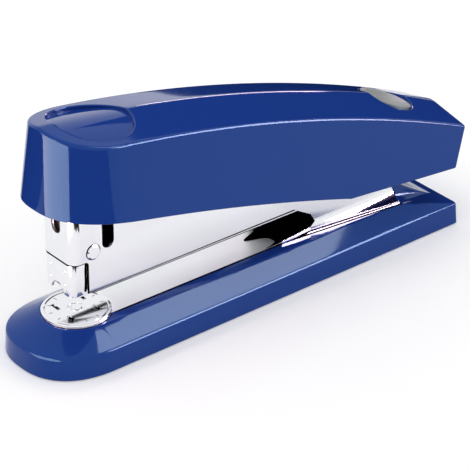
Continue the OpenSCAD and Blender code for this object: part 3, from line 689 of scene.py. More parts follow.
    def _dish(self, work: Patchwork, ring: np.ndarray, drop: float) -> None:
        """Adds the dish's wall and its arched floor.

        The floor lies at the ridge's height less a depth and less an arch across Y: a multiple of
        the square root of (y squared + blend squared), less the blend.

        Args:
            work: patchwork that takes the grids.
            ring: where the dish's bore meets the roof.
            drop: 0 for the outer face, or the wall for the face below.
        """
        t = self.tilt(self.dish_x)
        radius = self.dish_r if drop == 0 else self.dish_r + self.wall
        local = (ring[:, 0] - self.dish_x) / math.cos(t)
        angles = np.arctan2(ring[:, 1], local)
        x, y = self.dish_x + radius * math.cos(t) * np.cos(angles), radius * np.sin(angles)
        floor = np.stack([x, y, self.dish_floor(x, y) - drop], axis=1)
        if drop == 0:
            top = self.bored(self.dish_x, (radius, radius), angles, 0.0)
            down = self.below(top, self.dish_x, self.lip)
            work.grid(bend(ring, top, down, 5), loop=True)
            near = toward(floor, down, self.dish_foot)
            work.grid(ruled(down, near, 3), loop=True)
            centre = np.array([self.dish_x, 0.0, 0.0])
            inside = floor + (centre - floor) * self.FOOT_SHARE
            inside[:, 2] = self.dish_floor(inside[:, 0], inside[:, 1])
            work.grid(bend(near, floor, inside, 4), loop=True)
            floor = inside
        else:
            work.grid(ruled(ring, floor, 3), loop=True)
        share = np.linspace(1.0, 0.0, 13)[None, :]
        px = self.dish_x + (floor[:, :1] - self.dish_x) * share
        py = floor[:, 1:2] * share
        pz = self.dish_floor(px, py) - drop
        work.grid(np.dstack([px, py, pz]), loop=True)

    def dish_floor(self, x: np.ndarray, y: np.ndarray) -> np.ndarray:
        """Height of the dish's floor: the ridge less a depth and less a smooth arch across Y.

        Args:
            x: X of the points.
            y: Y of the points.

        Returns:
            One height for each point.
        """
        arch = np.sqrt(y ** 2 + self.dish_blend ** 2) - self.dish_blend
        reach = math.hypot(self.dish_r, self.dish_blend) - self.dish_blend
        fall = self.ridge_rise * self.dish_r / self.edge_half + self.dish_drop[1] - self.dish_drop[0]
        return self.ridge(x) - self.dish_drop[0] - fall * arch / reach

    def _hole(self, work: Patchwork, top: np.ndarray, bottom: np.ndarray) -> None:
        """Adds the wall of the button's hole: a rounded lip, then straight down to a collar.

        Args:
            work: patchwork that takes the grids.
            top: where the hole meets the outer roof.
            bottom: where its collar meets the inner roof.
        """
        reach, drop = self.hole_lip
        inside = toward(top, np.array([[self.hole_x, 0.0, 0.0]]) + top * [0, 0, 1], reach)
        lip = self.below(inside, self.hole_x, drop)
        deep = self.below(lip, self.hole_x, self.hole_depth[0])
        foot = self.below(bottom, self.hole_x, self.hole_depth[1])
        for sheet in (bend(top, inside, lip, 4), ruled(lip, deep, 4), ruled(deep, foot, 2),
                      ruled(foot, bottom, 2)):
            work.grid(sheet, loop=True)


@dataclass
class BaseShell:
    """Moulded base: a loop of sloping faces from the floor over a rim to a plateau with a seat.

    Attributes:
        half: half-width at the rim.
        nose_c: centre of the rim's round front.
        nose: reach of the rim's round front.
        power: power of its superellipse.
        rear: rear end of the rim.
        rim_z: height of the rim.
        plate_z: height of the plateau.
        plateau_r: radius of the plateau round the anvil.
        plateau_half: half-width of the plateau at the front.
        plateau_start: where its round front ends.
        plateau_flare: how much it widens close behind the round front.
        plateau_ease: over what length that flare dies out.
        taper_start: where its slow taper starts.
        plateau_grow: how much the taper widens it up to its rear end.
        plate_r: radius of the plate round the anvil.
        plate_half: half-width of the plate at the front.
        plate_grow: how much the plate widens up to flange_start.
        flange_half: half-width of the plate at its rear end.
        flange_start: where the plate starts to widen to the flange.
        flange_power: power of that widening.
        flange_x: rear end of the plateau.
        plate_gap: gap between the plate and its seat.
        plate_end: how far before the plateau's end the plate ends.
        plate_round: rounding of the plate's edge.
        seat_depth: depth of the seat.
        ledge: how far the hollow's ceiling lies inside the seat's edge.
        floor_z: height of the shell's lower edge.
        draft: how much wider it is down there.
        wall: thickness of the shell.
        corner: radius of the rear corners.
        turn_steps: points round half the front.
        rim_round: rounding of the rim.
        brow: rounding of the plateau's edge.
        brink: rounding of the seat's edge.
        run_up: length before the rear end in which the points lie closer.
        square_x: last station at which rim and plateau have the same X.
        fairing_len: length of the swell behind the bracket.
        fairing_z: its height at the bracket.
        fairing_half: its half-width.
        fairing_wall: heights above its hollow foot of its top and of the lower end of its brow.
        fairing_brow: how far inwards its brow reaches.
        fairing_power: power by which it sinks along its length.
        fairing_crowd: power by which its sections lie closer at the bracket.
        fairing_steps: how many sections it has.
        fairing_lap: how far it reaches into the bracket.
        fairing_sink: how far it stands in the slope.
        fairing_hub: height of the middle of its end faces above their lowest points.
        foot_r: radius of the hollow fillet along its foot.
        seam_width: width of the black strip of painted shade round the plate's seam at the front, and what
            its sides add to it.
        seam_x: where that strip starts to widen, and over what length.
        seam_in: how far outside the plate it starts.
        seam_deep: depth of its ring.
    """

    half: float = 22.0
    nose_c: float = 0.8
    nose: float = 25.0
    power: float = 2.4
    rear: float = 161.0
    rim_z: float = 8.4
    plate_z: float = 13.6
    plateau_r: float = 13.2
    plateau_half: float = 13.15
    plateau_start: float = 1.2
    plateau_flare: float = 0.8
    plateau_ease: float = 12.0
    taper_start: float = 66.0
    plateau_grow: float = 2.0
    plate_r: float = 12.2
    plate_half: float = 9.0
    plate_grow: float = 0.7
    flange_half: float = 15.2
    flange_start: float = 84.0
    flange_power: float = 1.1
    flange_x: float = 138.3
    plate_gap: float = 0.3
    plate_end: float = 0.4
    plate_round: float = 0.2
    seat_depth: float = 1.2
    ledge: float = 0.9
    floor_z: float = 0.4
    draft: float = 0.4
    wall: float = 2.2
    corner: float = 2.0
    turn_steps: int = 64
    rim_round: float = 0.9
    brow: float = 0.18
    brink: float = 0.12
    run_up: float = 3.0
    square_x: float = 126.0
    fairing_len: float = 19.0
    fairing_z: float = 21.0
    fairing_half: float = 11.1
    fairing_wall: tuple[float, float] = (3.0, 1.0)
    fairing_brow: float = 2.2
    fairing_power: float = 1.2
    fairing_crowd: float = 1.15
    fairing_steps: int = 33
    fairing_lap: float = 0.2
    fairing_sink: float = 0.03
    fairing_hub: float = 0.9
    foot_r: float = 4.4
    seam_width: tuple[float, float] = (0.06, 0.8)
    seam_x: tuple[float, float] = (4.0, 8.0)
    seam_in: float = 0.02
    seam_deep: float = 0.35

    @property
    def stations(self) -> np.ndarray:
        """X of the stations along the straight sides."""
        return np.concatenate([[8.0, 11.0, 14.0, 18.0, 22.0, 27.0, 36.0, 48.0, 60.0, 72.0],
                               np.linspace(self.flange_start, self.square_x, 15), [129.0, 132.0]])

    def plate_edge(self, x: np.ndarray) -> np.ndarray:
        """Half-width of the plate: a slow taper, then a power curve out to the flange.

        Args:
            x: stations in millimetres.

        Returns:
            One half-width for each station.
        """
        slow = self.plate_half + self.plate_grow * x / self.flange_start
        share = ((x - self.flange_start) / (self.flange_x - self.flange_start)).clip(0)
        wide = (self.flange_half - self.plate_half - self.plate_grow) * share ** self.flange_power
        return np.where(x < self.flange_start, slow, self.plate_half + self.plate_grow + wide)

    def plateau_edge(self, x: np.ndarray) -> np.ndarray:
        """Half-width of the plateau: a flare that dies out behind the round front, then a slow taper.

        Args:
            x: stations in millimetres.

        Returns:
            One half-width for each station.
        """
        flare = 1 - np.exp(-((x - self.plateau_start) / self.plateau_ease) ** 2)
        share = ((x - self.taper_start) / (self.flange_x - self.taper_start)).clip(0)
        return self.plateau_half + self.plateau_flare * flare + self.plateau_grow * share

    def rim(self, inset: float, grow: float, z: float) -> np.ndarray:
        """Rim outline: superellipse nose in polar form, straight sides and round rear corners.

        Args:
            inset: distance inwards.
            grow: draft added outwards.
            z: height.

        Returns:
            The closed loop, N by 3.
        """
        f, h, back = self.nose + grow - inset, self.half + grow - inset, self.rear + grow - inset
        a = np.linspace(0.0, math.pi - math.asin(self.plateau_half / self.plateau_r), self.turn_steps)
        with np.errstate(divide="ignore"):
            oval = (np.abs(np.cos(a) / f) ** self.power + (np.sin(a) / h) ** self.power) ** (-1 / self.power)
            reach = np.where(a < math.pi / 2, oval, h / np.sin(a).clip(TINY))
        nose = np.stack([self.nose_c - reach * np.cos(a), reach * np.sin(a)], axis=1)
        x, square = self.stations, self.square_x
        stretch = (back - self.corner - 1 - square) / (self.flange_x - self.run_up - square)
        x = np.where(x > square, square + (x - square) * stretch, x)
        x[0] = (nose[-1, 0] + x[1]) / 2
        side = np.stack([x, np.full_like(x, h)], axis=1)
        b = np.linspace(0.0, math.pi / 2, 7)
        turn = np.stack([back - self.corner * (1 - np.sin(b)), h - self.corner * (1 - np.cos(b))], axis=1)
        half = np.concatenate([nose, side, turn, self._closing(back, h - self.corner)])
        return both_sides(np.column_stack([half, np.full(len(half), z)]))

    @staticmethod
    def _closing(x: float, half: float) -> np.ndarray:
        """Points straight across the rear, from half to the centre."""
        return np.stack([np.full(9, x), half * np.linspace(1.0, 0.0, 10)[1:]], axis=1)

    def _outline(self, radius: float, half: float, sides: np.ndarray, back: float, z: float) -> np.ndarray:
        """Loop with a round front and given sides.

        Args:
            radius: radius of the front.
            half: half-width where the front ends.
            sides: half-widths at the stations and at the seven last points before the rear end.
            back: X of the rear end.
            z: height.

        Returns:
            The closed loop, N by 3, with as many points as the rim.
        """
        a = np.linspace(0.0, math.pi - math.asin(half / radius), self.turn_steps)
        nose = np.stack([-radius * np.cos(a), radius * np.sin(a)], axis=1)
        x = np.concatenate([self.stations, self._last(back)])
        loop = np.concatenate([nose, np.stack([x, sides], axis=1), self._closing(back, sides[-1])])
        return both_sides(np.column_stack([loop, np.full(len(loop), z)]))

    def _last(self, back: float) -> np.ndarray:
        """X of the seven points that run up to the rear end, closer towards it by a power of 0.7."""
        return back - self.run_up * (1 - np.linspace(0.0, 1.0, 7) ** 0.7)

    def plateau(self, inset: float, z: float) -> np.ndarray:
        """Outline of the plateau.

        Args:
            inset: distance inwards.
            z: height.

        Returns:
            The closed loop, N by 3.
        """
        x = np.concatenate([self.stations, self._last(self.flange_x)])
        return self._outline(self.plateau_r - inset, self.plateau_half - inset, self.plateau_edge(x) - inset,
                             self.flange_x - inset, z)

    def plate(self, grow: float, z: float) -> np.ndarray:
        """Outline of the plate.

        Args:
            grow: distance outwards.
            z: height.

        Returns:
            The closed loop, N by 3.
        """
        x = np.concatenate([self.stations, self._last(self.flange_x)])
        return self._outline(self.plate_r + grow, self.plate_half + grow, self.plate_edge(x) + grow,
                             self.flange_x - self.plate_end + min(grow, 0.0), z)

    def build(self) -> bpy.types.Object:
        """Builds the shell: floor edge, wall, rounded rim, slope, rounded plateau edge and seat.

        Returns:
            The shell.
        """
        work = Patchwork()
        floor = self.rim(0.0, self.draft, self.floor_z)
        rim = self.rim(0.0, 0.0, self.rim_z)
        top = self.plateau(0.0, self.plate_z)
        seat = self.plate(self.plate_gap, self.plate_z)
        deep = self.plate(self.plate_gap, self.plate_z - self.seat_depth)
        rounding = edge_fillet(floor, rim, top, self.rim_round, 8)
        brow = edge_fillet(rim, top, seat, self.brow, 6)
        brink = edge_fillet(top, seat, deep, self.brink, 4)
        for sheet in (ruled(floor, rounding[:, 0], 5), rounding, ruled(rounding[:, -1], brow[:, 0], 8), brow,
                      ruled(brow[:, -1], brink[:, 0], 2), brink, ruled(brink[:, -1], deep, 2)):
            work.grid(sheet, loop=True)
        inner_floor = self.rim(self.wall, self.draft, self.floor_z)
        inner_rim = self.rim(self.wall, 0.0, self.rim_z - self.wall)
        ceiling = self.plate(self.plate_gap - self.ledge, self.plate_z - self.seat_depth - self.wall)
        for sheet in (ruled(floor, inner_floor, 2), ruled(inner_floor, inner_rim, 3),
                      ruled(inner_rim, ceiling, 3)):
            work.grid(sheet, loop=True)
        self._fill(work, deep)
        self._fill(work, ceiling)
        return work.build("base_cover", sharp_deg=24.0)

    @staticmethod
    def _fill(work: Patchwork, loop: np.ndarray) -> None:
        """Closes a flat loop with straight rows from its upper half to its lower half.

        Args:
            work: patchwork that takes the grid.
            loop: the loop, N by 3.
        """
        upper = loop[: len(loop) // 2 + 1]
        lower = np.concatenate([loop[:1], loop[: len(loop) // 2 - 1: -1]])
        work.grid(ruled(upper, lower, 5))

    def plate_form(self) -> bpy.types.Object:
        """Builds the plate: a flat top with rounded edges over a straight edge in its seat.

        Returns:
            The plate.
        """
        work = Patchwork()
        low = self.plate(0.0, self.plate_z - self.seat_depth)
        top = self.plate(0.0, self.plate_z)
        rounding = edge_fillet(low, top, self.plate(-1.0, self.plate_z), self.plate_round, 6)
        work.grid(ruled(low, rounding[:, 0], 3), loop=True)
        work.grid(rounding, loop=True)
        self._fill(work, rounding[:, -1])
        self._fill(work, low)
        return work.build("base_plate_form", sharp_deg=30.0)

    def seam(self) -> bpy.types.Object:
        """Builds a black strip of painted shade in the gap round the plate; its width fades out at the round
        front.

        Returns:
            The strip of painted shade.
        """
        # A black strip laid in the gap round the plate paints the shade of the gap.
        inner = self.plate(self.seam_in, self.plate_z + LAP)
        share = ((inner[:, :1] - self.seam_x[0]) / self.seam_x[1]).clip(0, 1)
        width = self.seam_width[0] + self.seam_width[1] * share
        outer = inner + (self.plate(1.0, self.plate_z + LAP) - inner) * width
        down = np.array([0.0, 0.0, self.seam_deep])
        work = Patchwork()
        work.grid(np.stack([inner - down, inner, outer, outer - down, inner - down], axis=1), loop=True)
        return work.build("plate_seam_shade", sharp_deg=30.0)

    def _section(self, share: float) -> np.ndarray:
        """Closed section of the swell at a share of its length.

        The hollow foot is an arc of foot_r, the wall stands on it, and the whole height above the
        slope shrinks with (1 - share) to the power fairing_power.

        Args:
            share: 0 at the bracket, 1 at the far end.

        Returns:
            The closed loop, N by 3.
        """
        x = self.flange_x - self.fairing_lap + self.fairing_len * share
        slope = (self.plate_z - self.rim_z) / (self.rear - self.flange_x)
        ground = self.plate_z - self.fairing_sink - slope * (x - self.flange_x)
        r, w = self.foot_r, self.fairing_half
        peak, knee = (r + rise for rise in self.fairing_wall)
        k = (1 - share) ** self.fairing_power * (self.fairing_z - self.plate_z) / peak
        a = np.linspace(math.pi / 2, 0.0, 15)
        foot = np.stack([w + r * (1 - np.sin(a)), k * r * (1 - np.cos(a))], axis=1)
        t = np.linspace(0.0, 1.0, 9)[:, None]
        high, top, wall = np.array([w - self.fairing_brow, peak]), np.array([w, peak]), np.array([w, knee])
        brow = (high * (1 - t) ** 2 + 2 * top * t * (1 - t) + wall * t ** 2) * [1, k]
        flat = np.stack([np.linspace(0.0, high[0], 6)[:-1], np.full(5, k * high[1])], axis=1)
        under = np.array([[w + r, -1.0], [w, -1.0], [w / 2, -1.0]])
        half = np.concatenate([flat, brow, foot[1:], under])
        half = np.column_stack([np.full(len(half), x), half[:, 0], ground + half[:, 1]])
        return np.concatenate([half, half[:0:-1] * [1, -1, 1]])

    def fairing(self) -> bpy.types.Object:
        """Builds the smooth swell that closes the gap behind the bracket.

        Returns:
            The swell.
        """
        work = Patchwork()
        shares = np.linspace(0.0, 1.0, self.fairing_steps) ** self.fairing_crowd
        rings = np.stack([self._section(s) for s in shares.tolist()], axis=1)
        work.grid(rings, loop=True)
        for end in (rings[:, 0], rings[:, -1]):
            centre = end.mean(axis=0) * [1, 0, 0] + [0, 0, end[:, 2].min() + self.fairing_hub]
            work.grid(ruled(end, np.repeat(centre[None], len(end), axis=0), 3), loop=True)
        return work.build("base_swell", sharp_deg=30.0)


@dataclass
class Pressing:
    """Pressed or moulded piece: the CAD form with its sharp edges rounded.

    Attributes:
        FLAT: faces that bend less than this angle are joined.
        node: the CAD node that it stands for.
        body: the body that it rides on.
        slot: the record's material slot.
        finish: its finish.
        edge: radius of its rounded edges in millimetres.
        sharp_deg: edges that bend more than this are rounded.
        lowered: points above the first height come down by the second, to open a joint.
    """

    FLAT: ClassVar[float] = math.radians(0.6)

    node: str
    body: str
    slot: str
    finish: Finish
    edge: float = 0.2
    sharp_deg: float = 32.0
    lowered: tuple[float, float] | None = None

    def build(self) -> bpy.types.Object:
        """Copies the merged CAD form, joins its flat faces, rounds its edges and dresses it.

        Returns:
            The new piece.
        """
        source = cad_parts[self.node]
        mesh = source.data.copy()
        mesh.name = f"{self.node}_form"
        with editing(mesh) as bm:
            bmesh.ops.remove_doubles(bm, verts=bm.verts, dist=WELD)
            bmesh.ops.dissolve_limit(bm, angle_limit=self.FLAT, verts=bm.verts, edges=bm.edges)
        mesh.shade_smooth()
        if self.lowered:
            points = np.empty(len(mesh.vertices) * 3)
            mesh.vertices.foreach_get("co", points)
            points[2::3] -= np.where(points[2::3] > self.lowered[0] * MM, self.lowered[1] * MM, 0.0)
            mesh.vertices.foreach_set("co", points)
        piece = place(mesh.name, mesh)
        round_edges(piece, self.edge, self.sharp_deg)
        dress(piece, self.finish, self.body, self.slot, self.node)
        return piece


PRESSINGS = (
    Pressing("hood", "arm", "chrome", CHROME, 0.22),
    Pressing("magazine_nose", "drawer", "chrome", CHROME, 0.2, lowered=(36.8, 0.3)),
    Pressing("magazine_channel", "drawer", "chrome", CHROME, 0.2),
    Pressing("rear_bracket", "base", "chrome", CHROME, 0.3),
)


class Prisms:
    """Collects straight solids and joins them into one object with rounded edges.

    Attributes:
        SHARP_DEG: edges that bend more than this are rounded.
    """

    SHARP_DEG: ClassVar[float] = 40.0

    def __init__(self) -> None:
        """Starts with no points and no faces."""
        self.points: list[np.ndarray] = []
        self.faces: list[list[int]] = []
        self.count = 0

    def add(self, outline: np.ndarray, low: float, high: float | np.ndarray,
            axis: Axis = Axis.Z) -> None:
        """Carries a closed outline straight from low to high along an axis.

        Args:
            outline: N by 2 points: Y and Z for axis X, X and Z for axis Y, X and Y for axis Z.
            low: where the solid starts.
            high: where it ends, for all points or one each.
            axis: the axis it runs along.
        """
        n = len(outline)
        ends = [np.column_stack([outline, np.full(n, end)])[:, axis.value] for end in (low, high)]
        self.points.extend(ends)
        i = np.arange(n)
        nxt = (i + 1) % n
        sides = np.stack([i, nxt, nxt + n, i + n], axis=1) + self.count
        self.faces.extend(sides.tolist())
        self.faces.append((i[::-1] + self.count).tolist())
        self.faces.append((i + n + self.count).tolist())
        self.count += 2 * n

    def build(self, name: str, edge: float = 0.1) -> bpy.types.Object:
        """Makes the object, turns its faces outwards and rounds its edges.

        Args:
            name: the object's name.
            edge: radius of the rounding in millimetres.

        Returns:
            The new object.
        """
        mesh = bpy.data.meshes.new(name)
        mesh.from_pydata((np.concatenate(self.points) * MM).tolist(), [], self.faces)
        with editing(mesh) as bm:
            bmesh.ops.recalc_face_normals(bm, faces=bm.faces)
        mesh.shade_smooth()
        obj = place(name, mesh)
        round_edges(obj, edge, self.SHARP_DEG)
        return obj


def round_edges(obj: bpy.types.Object, edge: float, sharp_deg: float) -> None:
    """Adds a live rounding to an object's sharp edges.

    Args:
        obj: the object.
        edge: radius of the rounding in millimetres.
        sharp_deg: edges that bend more than this are rounded.
    """
    bevel = obj.modifiers.new("rounded_edges", "BEVEL")
    bevel.width = edge * MM
    bevel.segments = 3
    bevel.limit_method = "ANGLE"
    bevel.angle_limit = math.radians(sharp_deg)
    bevel.harden_normals = True
    bevel.use_clamp_overlap = True
    bevel.miter_outer = "MITER_ARC"


def arc(centre: tuple[float, float], radius: float, start: float, end: float,
        steps: int) -> np.ndarray:
    """Points on a circle: centre + radius (cos a, sin a) from the start to the end angle in degrees."""
    a = np.radians(np.linspace(start, end, steps))
    return np.array(centre) + radius * np.stack([np.cos(a), np.sin(a)], axis=1)


def box(x0: float, x1: float, y0: float, y1: float) -> np.ndarray:
    """Four corners of a rectangle."""
    return np.array([[x0, y0], [x1, y0], [x1, y1], [x0, y1]])


@dataclass
class HoodPaintedShade:
    """Painted shade along the arm's seams: a black ribbon under the hood's lower edge, where the gap is
    shaded, and black rings round the rivets, where their recesses are shaded.

    Attributes:
        half: half-width of the hood.
        front: X of its front face.
        step_x: X of the step behind the nose.
        step_z: height of the lower edge over the nose.
        low_z: height of the lower edge at the step and at the rear end of the ribbon.
        rear: rear end of the ribbon.
        corner: radius of the hood's front corners.
        step_r: radius of the step's corner.
        inset: how far the ribbon lies behind the hood's face.
        thick: thickness of the ribbon.
        hang: how far it shows below the edge, at the front and at the rear.
        rivet: X and Z of the rivets.
        rivet_r: inner radius of the rings.
        ring: width of the rings.
        ring_y: how deep the rings lie in the hood's face, and how far they stand out of it.
    """

    half: float = 9.1
    front: float = -7.4
    step_x: float = -0.7
    step_z: float = 37.4
    low_z: tuple[float, float] = (25.2, 24.9)
    rear: float = 116.0
    corner: float = 3.5
    step_r: float = 1.5
    inset: float = 0.1
    thick: float = 0.6
    hang: tuple[float, float] = (0.4, 0.75)
    rivet: tuple[float, float] = (1.3, 40.5)
    rivet_r: float = 2.74
    ring: float = 0.3
    ring_y: tuple[float, float] = (0.1, 0.06)

    def build(self) -> bpy.types.Object:
        """Builds the painted shade: the ribbon, the rings and the strips up the step.

        Returns:
            All of them as one piece.
        """
        # The black ribbon paints the shade in the gap under the hood's edge; the black rings paint the shade
        # round the rivets.
        work = Prisms()
        outer, x0 = self.half - self.inset, self.front + self.inset
        inner, x1 = outer - self.thick, x0 + self.thick
        r, turn = self.corner - self.inset, self.step_x - self.step_r
        shell = np.concatenate([[[turn, -outer]], arc((x0 + r, -outer + r), r, 270, 180, 9),
                                arc((x0 + r, outer - r), r, 180, 90, 9), [[turn, outer]]])
        q = r - self.thick
        core = np.concatenate([[[turn, inner]], arc((x1 + q, inner - q), q, 90, 180, 9),
                               arc((x1 + q, -inner + q), q, 180, 270, 9), [[turn, -inner]]])
        work.add(np.concatenate([shell, core]), self.step_z - self.hang[0], self.step_z + LAP)
        knee_c = (turn, self.step_z - self.step_r)
        knee = np.concatenate([arc(knee_c, self.step_r + LAP, 0, 90, 8),
                               arc(knee_c, self.step_r - self.hang[0], 90, 0, 8)])
        back, foot = self.step_x - self.hang[0], self.low_z[0] - self.hang[0]
        skirt = np.array([[back, self.low_z[0] + LAP], [self.rear, self.low_z[1] + LAP],
                          [self.rear, self.low_z[1] - self.hang[1]], [back, foot]])
        riser = box(back, self.step_x + LAP, foot, self.step_z - self.step_r)
        ring = np.concatenate([arc(self.rivet, self.rivet_r + self.ring, 0, 360, 33),
                               arc(self.rivet, self.rivet_r, 360, 0, 33)])
        for side in (-1, 1):
            for outline in (knee, skirt, riser):
                work.add(outline, side * inner, side * outer, Axis.Y)
            work.add(ring, side * (self.half - self.ring_y[0]), side * (self.half + self.ring_y[1]), Axis.Y)
        return work.build("hood_painted_shade", edge=0.04)


@dataclass
class MagazineLips:
    """Turned-down lower lips of the magazine, with a black strip of painted shade under each.

    Attributes:
        reach: half-widths between which a lip lies.
        top: upper end of the lip, inside the hood.
        low: lower end at the front and at the rear.
        span: front and rear ends.
        painted_shade: height of the black strip of painted shade under each lip.
    """

    reach: tuple[float, float] = (7.2, 7.8)
    top: float = 25.0
    low: tuple[float, float] = (23.7, 22.75)
    span: tuple[float, float] = (1.5, 105.0)
    painted_shade: float = 0.3

    def build(self) -> tuple[bpy.types.Object, bpy.types.Object]:
        """Builds both lips as one piece and both strips of painted shade as another.

        Returns:
            The lips and the strips of painted shade.
        """
        lips, shade_strips = Prisms(), Prisms()
        (x0, x1), (z0, z1) = self.span, self.low
        lip = np.array([[x0, self.top], [x1, self.top], [x1, z1], [x0, z0]])
        # A black strip under each lip paints the shade beneath it.
        painted_shade = np.array([[x0, z0 + LAP], [x1, z1 + LAP], [x1, z1 - self.painted_shade], [x0, z0 - self.painted_shade]])
        for side in (-1, 1):
            lips.add(lip, side * self.reach[0], side * self.reach[1], Axis.Y)
            shade_strips.add(painted_shade, side * (self.reach[0] + LAP), side * (self.reach[1] - LAP), Axis.Y)
        return lips.build("magazine_lips", edge=0.12), shade_strips.build("magazine_shade_strips", edge=0.04)


@dataclass
class RearBlock:
    """Black plastic block between the bracket's walls, with a black film over the plate's end that paints
    the plate's dark reflection of the cavity.

    Attributes:
        span: front and rear ends.
        half: half-width of its body.
        foot_half: half-width of its foot.
        plate_z: height of the plate.
        foot_z: top of the foot.
        top_z: top of the body.
        foot_lift: height of the foot's underside above the plate.
        kerb: how far the kerb reaches forwards.
        film: heights of the painted reflection's two faces above the plate.
        painted_reflection_reach: how far the painted reflection reaches forwards at its middle and at its
            sides.
        bell: width of the painted reflection's middle.
        shoulder: share of its half-width at which its sides start.
        tuck: how far before the body its rear edge lies, inside the kerb.
    """

    span: tuple[float, float] = (84.3, 110.0)
    half: float = 8.5
    foot_half: float = 9.3
    plate_z: float = 13.6
    foot_z: float = 15.6
    top_z: float = 20.2
    foot_lift: float = 1.25
    kerb: float = 0.9
    film: tuple[float, float] = (0.02, 0.25)
    painted_reflection_reach: tuple[float, float] = (8.5, 6.0)
    bell: float = 2.4
    shoulder: float = 0.75
    tuck: float = 0.5

    def build(self) -> bpy.types.Object:
        """Builds the body, the foot, the kerb before the bracket's floor and the painted reflection on the
        plate.

        The painted reflection's front edge lies forward of the kerb by a bell curve round the middle plus
        the square of the distance past the shoulder.

        Returns:
            All of them as one piece.
        """
        work = Prisms()
        (x0, x1), w = self.span, self.foot_half
        low, high = (self.plate_z + rise for rise in self.film)
        work.add(box(x0, x1, -self.half, self.half), self.foot_z - 2 * LAP, self.top_z)
        work.add(box(x0, x1, -w, w), self.plate_z + self.foot_lift, self.foot_z)
        work.add(box(x0 - self.kerb, x0 + LAP, -w, w), low, self.foot_z)
        # The black film on the plate paints the plate's dark reflection of the cavity above it.
        y = np.linspace(-w, w, 57)
        middle = self.painted_reflection_reach[0] * np.exp(-(y / self.bell) ** 2)
        sides = self.painted_reflection_reach[1] * ((np.abs(y) / w - self.shoulder).clip(0) / (1 - self.shoulder)) ** 2
        front = np.stack([x0 - self.kerb - middle - sides, y], axis=1)
        edge = np.array([[x0 - self.tuck, w], [x0 - self.tuck, -w]])
        work.add(np.concatenate([front, edge]), low, high)
        return work.build("spring_block_form", edge=0.08)


@dataclass
class DiscMarks:
    """Dark marks on the anvil disc: painted shade in the bottoms of its four pockets, and plain ticks near
    its rim.

    Attributes:
        top: height of the disc's face.
        pocket: X and Y of the pockets.
        lens: half-axes of the painted shade in a pocket's bottom.
        pocket_z: depths of the painted shade's lower and upper face.
        ticks: how many ticks there are.
        reach: radii between which a tick lies.
        tick_half: half-width of a tick.
        tick_z: how deep a tick lies in the face, and how far it stands out of it.
    """

    top: float = 14.75
    pocket: tuple[float, float] = (5.5, 4.6)
    lens: tuple[float, float] = (0.5, 1.45)
    pocket_z: tuple[float, float] = (0.6, 0.26)
    ticks: int = 12
    reach: tuple[float, float] = (8.7, 10.1)
    tick_half: float = 0.13
    tick_z: tuple[float, float] = (0.1, 0.012)

    def build(self) -> bpy.types.Object:
        """Builds the painted shade in the pocket bottoms, and the ticks.

        Returns:
            All of them as one piece.
        """
        work = Prisms()
        lens = arc((0.0, 0.0), 1.0, 0, 345, 24) * self.lens
        low, high = (self.top - depth for depth in self.pocket_z)
        # Black lenses in the four pockets paint the shade in their bottoms.
        for sx in (-1, 1):
            for sy in (-1, 1):
                work.add(lens + [sx * self.pocket[0], sy * self.pocket[1]], low, high)
        tick = box(*self.reach, -self.tick_half, self.tick_half)
        for k in range(self.ticks):
            a = 2 * math.pi * (k + 0.5) / self.ticks
            turn = np.array([[math.cos(a), math.sin(a)], [-math.sin(a), math.cos(a)]])
            work.add(tick @ turn, self.top - self.tick_z[0], self.top + self.tick_z[1])
        return work.build("disc_marks", edge=0.01)


